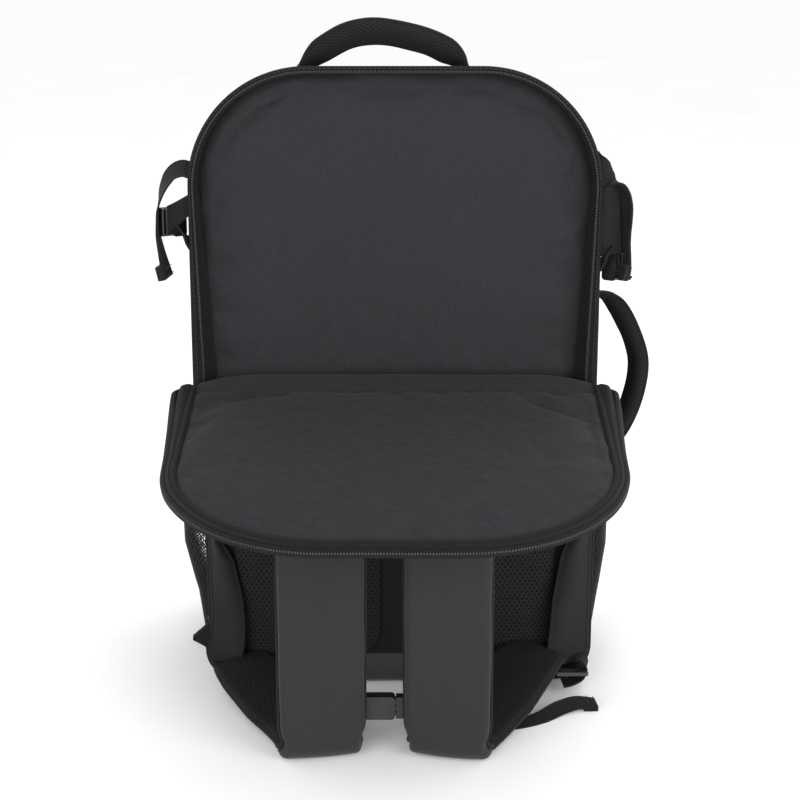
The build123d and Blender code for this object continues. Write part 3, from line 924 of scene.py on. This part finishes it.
# ---------------------------------------------------------------- straps
def rounded_line(points, radii, step=0.003):
    """Straight runs joined by arcs, evenly spaced."""
    points = [np.array(p, float) for p in points]
    out = [points[0]]
    for before, corner, after, radius in zip(points[:-2], points[1:-1], points[2:], radii):
        u = (before - corner) / np.linalg.norm(before - corner)
        v = (after - corner) / np.linalg.norm(after - corner)
        half_turn = math.acos(np.clip(np.dot(u, v), -1, 1)) / 2
        reach = radius / math.tan(half_turn)
        centre = corner + (u + v) / np.linalg.norm(u + v) * radius / math.sin(half_turn)
        a, b = corner + u * reach - centre, corner + v * reach - centre
        turn = math.acos(np.clip(np.dot(a, b) / radius**2, -1, 1))
        for k in np.linspace(0, 1, 12):
            out.append(centre + (math.sin((1 - k) * turn) * a + math.sin(k * turn) * b) / math.sin(turn))
    out.append(points[-1])
    out = np.array(out)
    return resample(out, max(8, int(lengths(out)[-1] / step)))


# The straps' lengths that lie back to the bag's corners
LOWER_STRAPS = {
    "left": [(-0.055, -0.256, 0.0078), (-0.059, -0.24, 0.0082), (-0.0715, -0.215, 0.01),
             (-0.0895, -0.188, 0.013), (-0.1095, -0.16, 0.0185), (-0.125, -0.14, 0.0245),
             (-0.133, -0.127, 0.0275)],
    "right": [(0.04, -0.256, 0.0078), (0.0455, -0.24, 0.0082), (0.0625, -0.212, 0.0115),
              (0.084, -0.18, 0.0185), (0.1035, -0.153, 0.029), (0.1175, -0.136, 0.036),
              (0.124, -0.127, 0.0375)],
}


def make_strap(side, s):
    """A shoulder strap's hanging length, from the yoke to its fold on the floor."""
    x = STRAP_X[side]
    sewn = opened(np.array([[x, -0.1215, FOLD_Z + 0.176]]))[0]
    near = opened(np.array([[x, -0.1235, FOLD_Z + 0.152]]))[0]
    floor = np.array((x, -0.262, 0.0075))
    foot = np.array((x + s * 0.004, -0.2465, 0.0075))
    path = rounded_line([sewn, near, floor, foot], [0.014, 0.0125])
    run = lengths(path)
    left_over = run[-1] - run
    share = np.clip((0.16 - path[:, 2]) / 0.15, 0, 1)[:, None]
    turn = np.concatenate([np.ones_like(share), -s * 0.19 * share**1.5, np.zeros_like(share)], axis=1)
    section = rounded_section(STRAP_WIDTH, STRAP_THICKNESS, 0.0018, 0.001, 64, 0.0056)
    outside = [1 if section[k, 1] + section[(k + 1) % 64, 1] > 0 else 0 for k in range(64)]
    flat_in = np.clip(run / 0.02, 0.35, 1)
    tuck = 1 - 0.1 * np.exp(-((left_over - 0.02) / 0.008) ** 2)
    strap = sweep(f"strap_{side}_padding", path, turn, section, [STRAP, FINE_MESH], outside,
                  tuck, flat_in)
    soften(strap, 0.001, 0.045, 90 + s)
    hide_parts(f"shoulder_strap_{side}")
    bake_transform(strap)
    edge_lines(f"strap_{side}", path, turn, tuck, f"strap_{side}")


def edge_lines(name, path, side_vector, width, body):
    """Dark piping along both edges of a hanging strap, towards its mesh face."""
    t = tangents(path)
    side = squared(side_vector, t)
    out = np.cross(side, t)
    below = path[:, 2] < STRAP_PIVOT[2] - 0.016
    for label, sign in (("l", -1), ("r", 1)):
        line = path + side * (sign * (STRAP_WIDTH / 2 * width - 0.0002))[:, None] + out * 0.0034
        tube(f"{name}_piping_{label}", line[below], 0.0022, PIPING, body)


def make_strap_end(side, s):
    """The strap's length that lies back over the floor to the bag's corner, mesh side up."""
    count = 70
    path = curve_through(LOWER_STRAPS[side], count)
    t = np.linspace(0, 1, count)
    side_vector = np.stack([np.ones(count), -s * 0.45 * np.sin(np.minimum(t * 1.6, 1) * math.pi / 2),
                            -s * 0.16 * t], 1)
    width = np.interp(t, [0, 0.16, 0.55, 0.85, 1], [0.84, 1.0, 0.96, 0.8, 0.66])
    height = np.interp(t, [0, 0.1, 0.85, 1], [0.8, 0.95, 0.85, 0.45])
    section = rounded_section(STRAP_WIDTH, STRAP_THICKNESS - 0.002, 0.003, 0.0, 64, 0.0045)
    upper = [0 if section[k, 1] + section[(k + 1) % 64, 1] > 0 else 1 for k in range(64)]
    strap = sweep(f"strap_end_{side}", path, side_vector, section, [FINE_MESH, STRAP], upper,
                  width, height)
    soften(strap, 0.0016, 0.032, 100 + s)
    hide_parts(f"strap_lower_{side}")
    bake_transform(strap)
    along = tangents(path)
    side_vector = squared(side_vector, along)
    out = np.cross(side_vector, along)
    for label, sign in (("l", -1), ("r", 1)):
        line = path + side_vector * sign * (STRAP_WIDTH / 2 * width[:, None] - 0.0004) - out * 0.001
        piping = tube(f"strap_end_{side}_piping_{label}", line, 0.0022, PIPING, None)
        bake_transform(piping)


def webbing_strip(name, points, width, across, body=None, count=60):
    """Flat webbing along points; across is its width's direction, one vector or one per sample."""
    path = curve_through(points, count)
    across = np.asarray(across, float)
    if across.ndim == 2:
        across = np.stack([np.interp(np.linspace(0, 1, count), np.linspace(0, 1, len(across)), across[:, k])
                           for k in range(3)], 1)
    across = squared(across, tangents(path))
    offsets = np.linspace(-width / 2, width / 2, 7)
    P = path[:, None] + across[:, None] * offsets[None, :, None]
    return thick_sheet(name, P, WEBBING_THICKNESS, WEBBING, body), path, across


def folded_end(name, path, across, width, body, length=0.012):
    """The doubled, stitched end of a webbing tail."""
    run = lengths(path)
    keep = run > run[-1] - length
    line, side = path[keep], across[keep]
    up = np.cross(side, tangents(path)[keep])
    offsets = np.linspace(-width / 2 - 0.0005, width / 2 + 0.0005, 7)
    P = (line + up * (WEBBING_THICKNESS + 0.0002))[:, None] + side[:, None] * offsets[None, :, None]
    thick_sheet(f"{name}_fold", P, WEBBING_THICKNESS * 2 + 0.001, WEBBING, body)
    for k in (0.3, 0.8):
        j = int(k * (len(line) - 1))
        for label, sign in (("a", 1), ("b", -1)):
            middle = line[j] + up[j] * (sign * 0.0021 + (0 if sign > 0 else -0.0004))
            rows = resample([middle - side[j] * width * 0.42, middle + side[j] * width * 0.42], 8)
            studs(f"{name}_stitch_{label}{int(k * 100)}", rows, up[j] * sign, 0.0035,
                  (0.0024, 0.0006, 0.0006), THREAD, body)


def make_adjusters():
    """Webbing from the bag's corners, through the ladder locks, with loose tails."""
    for side, s in SIDES:
        low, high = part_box(f"ladder_lock_{side}")
        lock_x = (low[0] + high[0]) / 2
        points = [(lock_x + s * 0.006, -0.108, 0.016), (lock_x + s * 0.004, -0.116, 0.0135),
                  (lock_x + s * 0.002, -0.126, 0.015), (lock_x - s * 0.001, -0.137, 0.0205)]
        corner, _, _ = webbing_strip(f"corner_webbing_{side}", points, 0.018, (1, 0.15 * s, 0), "bag", 30)
        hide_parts(f"adjuster_webbing_{side}")
        if side == "right":
            loop = [(0.148, -0.116, 0.026), (0.156, -0.12, 0.028), (0.1615, -0.124, 0.0255),
                    (0.1625, -0.128, 0.0195), (0.158, -0.131, 0.0135), (0.15, -0.133, 0.01),
                    (0.142, -0.134, 0.0085)]
            webbing_strip("corner_loop_right", loop, 0.013, (0.1, 1, 0.25), "bag", 50)
            tail = [(0.094, -0.2, 0.0016), (0.107, -0.195, 0.002), (0.121, -0.187, 0.003),
                    (0.137, -0.175, 0.0056), (0.152, -0.167, 0.0066), (0.168, -0.164, 0.005)]
            across = [(0.2, 1, 0), (0.1, 1, 0.1), (-0.3, 1, 0.3), (-0.3, 1, 0.5), (-0.1, 1, 0.4),
                      (0.2, 1, 0.1)]
        else:
            tail = [(-0.074, -0.205, 0.0018), (-0.086, -0.19, 0.0016), (-0.098, -0.175, 0.0016),
                    (-0.11, -0.158, 0.0018)]
            across = (0.8, 0.6, 0)
        carrier = f"strap_end_{side}"
        _, path, cross = webbing_strip(f"adjuster_tail_{side}", tail, 0.014, across, body=carrier, count=60)
        folded_end(f"adjuster_{side}", path, cross, 0.014, carrier)


# How far each wing stands out, from its foot (0) to its top (1)
WING_REACH = {
    "left": ([0, 0.12, 0.4, 0.62, 0.72, 1], [0.031, 0.034, 0.031, 0.023, 0.011, 0.004]),
    "right": ([0, 0.12, 0.4, 0.66, 0.78, 1], [0.036, 0.04, 0.036, 0.028, 0.017, 0.006]),
}


def make_wings():
    """Fabric wings at the lower back's side seams."""
    for side, s in SIDES:
        rows, cols = 40, 16
        P = np.zeros((rows, cols, 3))
        for i, v in enumerate(np.linspace(0, 1, rows)):
            z = 0.022 + 0.15 * v
            reach = np.interp(v, *WING_REACH[side])
            for j, u in enumerate(np.linspace(0, 1, cols)):
                bow = 0.005 * math.sin(u * math.pi) * math.sin(v * math.pi)
                fold = 0.003 * math.sin(u * 5 + v * 3) * u
                P[i, j] = (-0.164 + reach * u * 0.88, -0.113 - reach * u * 0.46 - bow + fold, z)
        flat = P.reshape(-1, 3)
        flat[:, 1] += 0.0018 * rng_wave(flat, 0.025, 110 + s)
        if s > 0:
            P = P[:, ::-1] * (-1, 1, 1)
        P = settled(P)
        wing = thick_sheet(f"strap_wing_{side}", P[:, ::-1], 0.002, WING_CLOTH, "bag")
        edge = P[:, -1] if s < 0 else P[:, 0]
        seam = tube(f"strap_wing_edge_{side}", resample(edge, 60), 0.0012, PIPING, "bag")
    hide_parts("strap_wings")


def make_corner_tabs():
    """The small folded tabs at the wings' feet. Only the left one stands out."""
    for side, s in SIDES:
        rows = []
        reach = 0.023 if s < 0 else 0.006
        for v in np.linspace(0, 1, 10):
            tip = 1 - abs(2 * v - 1)
            rows.append([(s * (0.16 + reach * tip * u), -0.1035 - 0.003 * u,
                          0.026 + 0.032 * v - 0.004 * tip * u) for u in np.linspace(0, 1, 8)])
        P = settled(rows)
        tab = thick_sheet(f"corner_tab_{side}", P if s < 0 else P[:, ::-1], 0.0024, WING_CLOTH, "bag")
        if s < 0:
            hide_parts("corner_tabs")


# ---------------------------------------------------------------- sternum strap
def make_sternum():
    """The two webbings of the sternum strap."""
    for side, body in (("left", "sternum_left"), ("right", "sternum_male")):
        low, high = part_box(f"sternum_webbing_{side}")
        y, z = (low[1] + high[1]) / 2, (low[2] + high[2]) / 2
        rise = 0.007 if side == "right" else 0.0
        points = [(low[0], y, z), (low[0] * 0.7 + high[0] * 0.3, y - 0.0004, z + rise * 0.3),
                  (low[0] * 0.4 + high[0] * 0.6, y + 0.0004, z + rise), (high[0], y, z + rise)]
        piece, _, _ = webbing_strip(f"sternum_strap_{side}", points, 0.0145, (0, 0, 1), body=body, count=30)
        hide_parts(f"sternum_webbing_{side}")


# ---------------------------------------------------------------- compression straps
# The left strap's own lines; "right" is written for the left side too, and mirrored. wing: heights of the
# cloth's inner and outer edge, and how far out they lie. through: the webbing's x, top and bottom in the
# buckle.
COMPRESSION = {
    "left": dict(
        loop=[(-0.1655, -0.093, 0.439), (-0.173, -0.093, 0.4405), (-0.1815, -0.0925, 0.436),
              (-0.1885, -0.092, 0.4235), (-0.192, -0.0915, 0.41)],
        through=(0.1928, 0.406, 0.385),
        tail=[(-0.1915, -0.091, 0.376), (-0.189, -0.0905, 0.363), (-0.186, -0.09, 0.351)],
        twist=[(0.0, 0.8, 0.6), (-0.1, 0.8, 0.58), (-0.32, 0.86, 0.36), (-0.28, 0.94, 0.12), (-0.12, 0.99, 0),
               (-0.05, 1, 0), (0, 1, 0), (0.04, 1, 0), (0.12, 0.99, 0), (0.22, 0.97, 0), (0.28, 0.96, 0)],
        wing=[(0.4225, 0.41, 0.164, 0.185), (0.418, 0.402, 0.164, 0.186), (0.412, 0.394, 0.164, 0.186),
              (0.406, 0.387, 0.164, 0.185)]),
    "right": dict(
        loop=[(-0.166, -0.093, 0.432), (-0.174, -0.0928, 0.4345), (-0.182, -0.0925, 0.429),
              (-0.187, -0.092, 0.415), (-0.1888, -0.0915, 0.395)],
        through=(0.189, 0.38, 0.358),
        tail=[(-0.1885, -0.091, 0.357), (-0.188, -0.0905, 0.355), (-0.1868, -0.09, 0.352)],
        twist=[(0.3, 0.6, 0.74), (0.4, 0.66, 0.64), (0.55, 0.76, 0.36), (0.62, 0.78, 0.1), (0.6, 0.8, 0.0),
               (0.5, 0.87, 0), (0.36, 0.93, 0), (0.34, 0.94, 0), (0.4, 0.92, 0), (0.46, 0.88, 0),
               (0.5, 0.86, 0)],
        wing=[(0.456, 0.445, 0.164, 0.1725), (0.444, 0.429, 0.164, 0.179), (0.412, 0.41, 0.164, 0.182),
              (0.369, 0.371, 0.164, 0.185)]),
}


def make_compression():
    """Cloth wings, slack loops and tails of the compression straps."""
    for side, s in SIDES:
        mirror = np.array((1, 1, 1) if s < 0 else (-1, 1, 1), float)
        shape = COMPRESSION[side]
        edges = np.array([[(-a, -0.0945, za), (-b, -0.0895, zb)] for za, zb, a, b in shape["wing"]])
        rows = resample(edges.reshape(len(edges), 6), 24).reshape(-1, 2, 3)
        u = np.linspace(0, 1, 12)[None, :, None]
        P = rows[:, :1] * (1 - u) + rows[:, 1:] * u
        P = P - np.array((0, 0.0022, 0)) * np.sin(u * math.pi)
        flat = P.reshape(-1, 3)
        flat[:, 1] += 0.0018 * rng_wave(flat, 0.016, 160 + s)
        P = P if s < 0 else P[:, ::-1] * mirror
        thick_sheet(f"compression_wing_{side}", P, 0.0022, SHELL, "bag")
        x, z_high, z_low = shape["through"]
        through = [(-x, -0.0915, z_high), (-x - 0.0002, -0.0915, (z_high + z_low) / 2), (-x, -0.0915, z_low)]
        points = np.array(shape["loop"] + through + shape["tail"]) * mirror
        twist = np.array(shape["twist"]) * mirror
        web, path, cross = webbing_strip(f"compression_webbing_{side}", points, 0.0185, twist, count=120)
        if s < 0:
            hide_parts("compression_webbings")
        z = shape["wing"][-1][1]
        points = np.array([(-0.1655, -0.0935, z - 0.012), (-0.172, -0.093, z - 0.002),
                           (-0.179, -0.0915, z + 0.006)]) * mirror
        across = mirror * (0.55, 0.3, -0.75)
        tab, _, _ = webbing_strip(f"compression_tab_{side}", points, 0.016, across, "bag", 16)
        male = f"compression_male_{side}"
        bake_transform(web)
        folded_end(f"compression_{side}", path, cross, 0.0185, male)
    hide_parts("compression_wings")


# ---------------------------------------------------------------- handles
def grip(name, points, side_vector, width, thickness, node):
    """A padded grip: smooth outer face, mesh inner face, piping along both edges."""
    count = 90
    path = curve_through(points, count)
    t = np.linspace(0, 1, count)
    ease = np.clip(np.minimum(t, 1 - t) / 0.16, 0, 1)
    ease = ease * ease * (3 - 2 * ease)
    section = rounded_section(width, thickness, 0.0012, 0.0018, 48, thickness * 0.42)
    which = [1 if section[k, 1] + section[(k + 1) % 48, 1] > -thickness * 0.7 else 0 for k in range(48)]
    piece = sweep(name, path, side_vector, section, [GRIP_CLOTH, FINE_MESH], which,
                  0.84 + 0.16 * ease, 0.3 + 0.7 * ease)
    soften(piece, 0.0008, 0.02, 130)
    along = tangents(path)
    side_vector = squared(side_vector, along)
    out = np.cross(side_vector, along)
    pipes = []
    for label, sign in (("a", -1), ("b", 1)):
        edge = width / 2 * (0.84 + 0.16 * ease) - 0.0009
        line = path + side_vector * sign * edge[:, None] - out * (thickness * 0.36 * ease)[:, None]
        pipes.append(tube(f"{name}_piping_{label}", line, 0.0014, PIPING, None))
    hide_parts(node)
    return [piece] + pipes


def make_handles():
    """The two grips and the webbing that anchors them."""
    y = joint["top_grip_fold"]["pos_m"][1]
    points = [(0.056, y, 0.518), (0.0505, y, 0.5265), (0.04, y, 0.534), (0.022, y, 0.5415),
              (-0.002, y, 0.547), (-0.02, y, 0.5485), (-0.038, y, 0.545), (-0.054, y, 0.5365),
              (-0.066, y, 0.5275), (-0.0745, y, 0.518)]
    for piece in grip("top_grip", points, (0, -0.7, 0.71), 0.022, 0.0125, "top_handle_grip"):
        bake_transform(piece)
    points = [(0.1715, 0, 0.1775), (0.185, 0, 0.182), (0.1965, 0, 0.193), (0.2055, 0, 0.21),
              (0.2118, 0, 0.23), (0.2148, 0, 0.25), (0.2135, 0, 0.266), (0.2065, 0, 0.286),
              (0.1965, 0, 0.305), (0.185, 0, 0.3165), (0.1715, 0, 0.3195)]
    for piece in grip("side_grip", points, (0.55, -0.83, 0), 0.0185, 0.0115, "side_handle_grip"):
        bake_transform(piece)
    for end in (-1, 1):
        x = -0.0095 + end * 0.064
        points = [(x - end * 0.006, y, 0.5185), (x, y, 0.5195), (x + end * 0.006, y, 0.5188)]
        label = "l" if end < 0 else "r"
        tab, _, _ = webbing_strip(f"top_anchor_{label}", points, 0.02, (0, 1, -0.14), body="bag", count=14)
        if end < 0:
            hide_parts("handle_anchors")
        z = 0.2485 + end * 0.073
        points = [(0.1735, 0, z - end * 0.008), (0.1738, 0, z), (0.1728, 0, z + end * 0.012)]
        webbing_strip(f"side_anchor_{label}", points, 0.022, (0, 1, 0), body="bag", count=14)


# ---------------------------------------------------------------- bottle pockets
def net(name, P, body, strand=0.00042):
    """Open net over a grid of points: its cells' diagonals as fine strands."""
    rows, cols = P.shape[:2]
    verts = P.reshape(-1, 3)
    faces = []
    for r in range(1, rows - 1):
        for c in range(1, cols - 1):
            if (r + c) % 2:
                faces.append([(r - 1) * cols + c, r * cols + c + 1, (r + 1) * cols + c, r * cols + c - 1])
    obj = mesh_piece(name, verts, faces, THREAD, None)
    modifier(obj, "WIREFRAME", thickness=strand * 2, use_even_offset=False, use_replace=True)
    apply_modifiers(obj)
    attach(obj, body)
    return obj


def make_bottle_pockets():
    """Net pockets on both sides with their elastic hems. The right one lies flatter."""
    for side, s in SIDES:
        rows, cols = 52, 56
        P = np.zeros((rows, cols, 3))
        share = 1.0 if s < 0 else 0.62
        for i, v in enumerate(np.linspace(0, 1, rows)):
            z = 0.026 + 0.146 * v
            bulge = 0.002 + share * np.interp(v, [0, 0.07, 0.3, 0.53, 0.8, 1],
                                              [0, 0.004, 0.014, 0.022, 0.022, 0.016])
            half = 0.048 + 0.009 * v
            for j, u in enumerate(np.linspace(-1, 1, cols)):
                across = np.sign(u) * (1 - (1 - abs(u)) ** 1.6)
                out = bulge * (1 - abs(u) ** 3.0)
                P[i, j] = (s * (0.1722 + out), -0.01 + half * across, z)
        if s < 0:
            P = P[:, ::-1]
        P = settled(P)
        piece = net(f"bottle_net_{side}", P, "bag", 0.00055)
        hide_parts(f"bottle_pocket_{side}")
        top = P[-1]
        hem = np.array([top + (0, 0, dz) for dz in (-0.003, 0.0, 0.003, 0.006)]).transpose(1, 0, 2)
        hem[:, :, 0] += s * np.array([0.0006, 0.001, 0.001, 0.0004])[None]
        band = thick_sheet(f"pocket_hem_{side}", hem, 0.0016 * s, BINDING, "bag")
        if s < 0:
            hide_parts("pocket_hems")


# ---------------------------------------------------------------- front
def make_front():
    """The panel over the main compartment, and the puffed front pocket."""
    count = 300
    y_list = np.concatenate([np.linspace(SEAM_Y + 0.0008, 0.085, 8), np.linspace(0.088, FRONT_Y - 0.001, 8)])
    rings = [upright(outline_at(y, 0, count), y) for y in y_list]
    base = outline_at(FRONT_Y, 0, count)
    half, high = np.abs(base[:, 0]).max(), base[:, 1].max()
    for d in np.concatenate([[0.0015, 0.004], np.arange(0.009, half - 0.002, 0.006)]):
        line = arch(half - d, d, high - d, 0.028 - d, 0.085 - d, count)
        rings.append(upright(line, FRONT_Y + 0.0045 * (1 - math.exp(-d / 0.03))))
    P = np.array(rings)
    P[..., 2] = np.maximum(P[..., 2], KICK + 0.001)
    flat = P.reshape(-1, 3)
    free = np.clip((flat[:, 2] - KICK - 0.002) / 0.03, 0, 1)
    out = np.clip((flat[:, 1] - 0.062) / 0.03, 0, 1)
    flat[:, 1] += 0.0012 * free * out * rng_wave(flat, 0.05, 140)
    n = len(P)
    faces = [f[::-1] for f in grid_faces(n, count, wrap=True)]
    last = (n - 1) * count
    faces += [[last + k, last + (count - k) % count, last + (count - k - 1) % count, last + k + 1]
              for k in range(1, count // 2 - 1)]
    panel = mesh_piece("front_cloth", flat, faces, [SHELL, INNER], None)
    weld(panel, 0.0002)
    modifier(panel, "SOLIDIFY", thickness=0.003, offset=-1, material_offset=1)
    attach(panel, "front")
    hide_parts("front_panel")
    low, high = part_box("front_pocket")
    outline = (high[0], low[2], high[2], 0.026, 0.026)
    pocket = padded_arch("front_pocket_cloth", outline, high[1] + 0.0005, low[1] + 0.0045, 0.001, SHELL,
                         "front", edge=0.006, pucker=0.0008, soft=0.0016, seed=150,
                         back_crown=0.0)
    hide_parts("front_pocket")


def make_front_zips():
    """The main compartment's two tapes and teeth, and the pocket's zip."""
    for label, y, body in (("bag", SEAM_Y - 0.0045, "bag"), ("panel", SEAM_Y + 0.0053, "front")):
        lines = []
        for dy in (-0.004, -0.002, 0.0, 0.002, 0.004):
            ring = outline_at(y, -0.0012 - 0.0006 * (1 - abs(dy) / 0.004), 600)
            keep = ring[(ring[:, 1] > 0.07)]
            order = np.argsort(np.unwrap(np.arctan2(keep[:, 1] - 0.25, keep[:, 0] + 1e-9)))
            keep = resample(keep[order], 220)
            lines.append(upright(keep, y + dy))
        Q = np.stack(lines, axis=1)
        tape = thick_sheet(f"main_tape_{label}", Q, -0.001, TAPE, body)
        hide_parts(f"main_zip_{label}_side")
        edge = Q[:, -1] if label == "bag" else Q[:, 0]
        up = edge - (0, 0, 0.25)
        up[:, 1] = 0
        line = edge + up / np.linalg.norm(up, axis=1, keepdims=True) * 0.0004
        studs(f"main_teeth_{label}", line, up, 0.0021, (0.00135, 0.0018, 0.0014), TEETH, body)
    low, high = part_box("pocket_zip")
    x = np.linspace(low[0], high[0], 60)
    Q = np.array([[(xx, high[1] - 0.0002, z) for z in np.linspace(low[2], high[2], 6)] for xx in x])
    tape = thick_sheet("pocket_tape", Q[:, ::-1], 0.0012, TAPE, "front")
    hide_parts("pocket_zip")
    middle = (low[2] + high[2]) / 2
    line = np.stack([x, np.full_like(x, high[1] + 0.0002), np.full_like(x, middle)], 1)
    studs("pocket_teeth", line, (0, 1, 0), 0.0021, (0.00135, 0.0042, 0.0012), TEETH, "front")


# ---------------------------------------------------------------- studio
def area_light(name, location, target, size, energy):
    data = bpy.data.lights.new(name, "AREA")
    data.energy = energy
    data.size = size
    light = bpy.data.objects.new(name, data)
    light.location = location
    light.rotation_euler = (Vector(target) - Vector(location)).to_track_quat("-Z", "Y").to_euler()
    scene.collection.objects.link(light)


def make_studio():
    """White floor and world, two front lights, one low and one from behind."""
    size = 30
    floor = mesh_piece("floor", [(-size, -size, 0), (size, -size, 0), (size, size, 0), (-size, size, 0)],
                       [[0, 1, 2, 3]], [])
    material, _, links, shader = new_material("studio_floor", 0.75)
    n = Nodes(material)
    links.new(n.ramp(n.noise(n.coordinates(), 3.0), [(0.3, (0.93, 0.93, 0.925)), (0.7, (0.95, 0.95, 0.945))]),
              shader.inputs["Base Color"])
    floor.data.materials.append(material)
    world = bpy.data.worlds.new("studio")
    world.use_nodes = True
    world.node_tree.nodes["Background"].inputs[0].default_value = (1, 1, 1, 1)
    world.node_tree.nodes["Background"].inputs[1].default_value = 1.03
    scene.world = world
    area_light("key", (-1.2, -2.4, 0.85), (0, 0, 0.25), 1.4, 36)
    area_light("fill", (1.7, -2.0, 0.75), (0, 0, 0.25), 1.6, 48)
    area_light("low", (0.1, -2.2, 0.3), (0, 0, 0.05), 0.9, 9)
    area_light("top", (0.4, 1.0, 2.3), (0, 0, 0.2), 1.4, 14)


def make_camera():
    """The camera, level from side to side and looking down by its elevation."""
    distance, elevation, aim = 1.6, math.radians(15.0), 0.2221
    data = bpy.data.cameras.new("camera")
    data.sensor_width = 36
    data.lens = 80.8
    data.shift_x = 5 / 800
    data.clip_end = 100
    camera = bpy.data.objects.new("camera", data)
    camera.location = (0, -distance * math.cos(elevation), aim + distance * math.sin(elevation))
    camera.rotation_euler = (math.radians(90) - elevation, 0, 0)
    scene.collection.objects.link(camera)
    scene.camera = camera


make_camera()
make_studio()
paint_cad()
make_shell()
make_divider()
make_lower_back()
make_bay_zip()
make_flap()
make_flap_zip()
make_fold_lining()
for side, s in SIDES:
    make_strap(side, s)
    make_strap_end(side, s)
make_adjusters()
make_wings()
make_corner_tabs()
make_sternum()
make_compression()
make_handles()
make_bottle_pockets()
make_front()
make_front_zips()
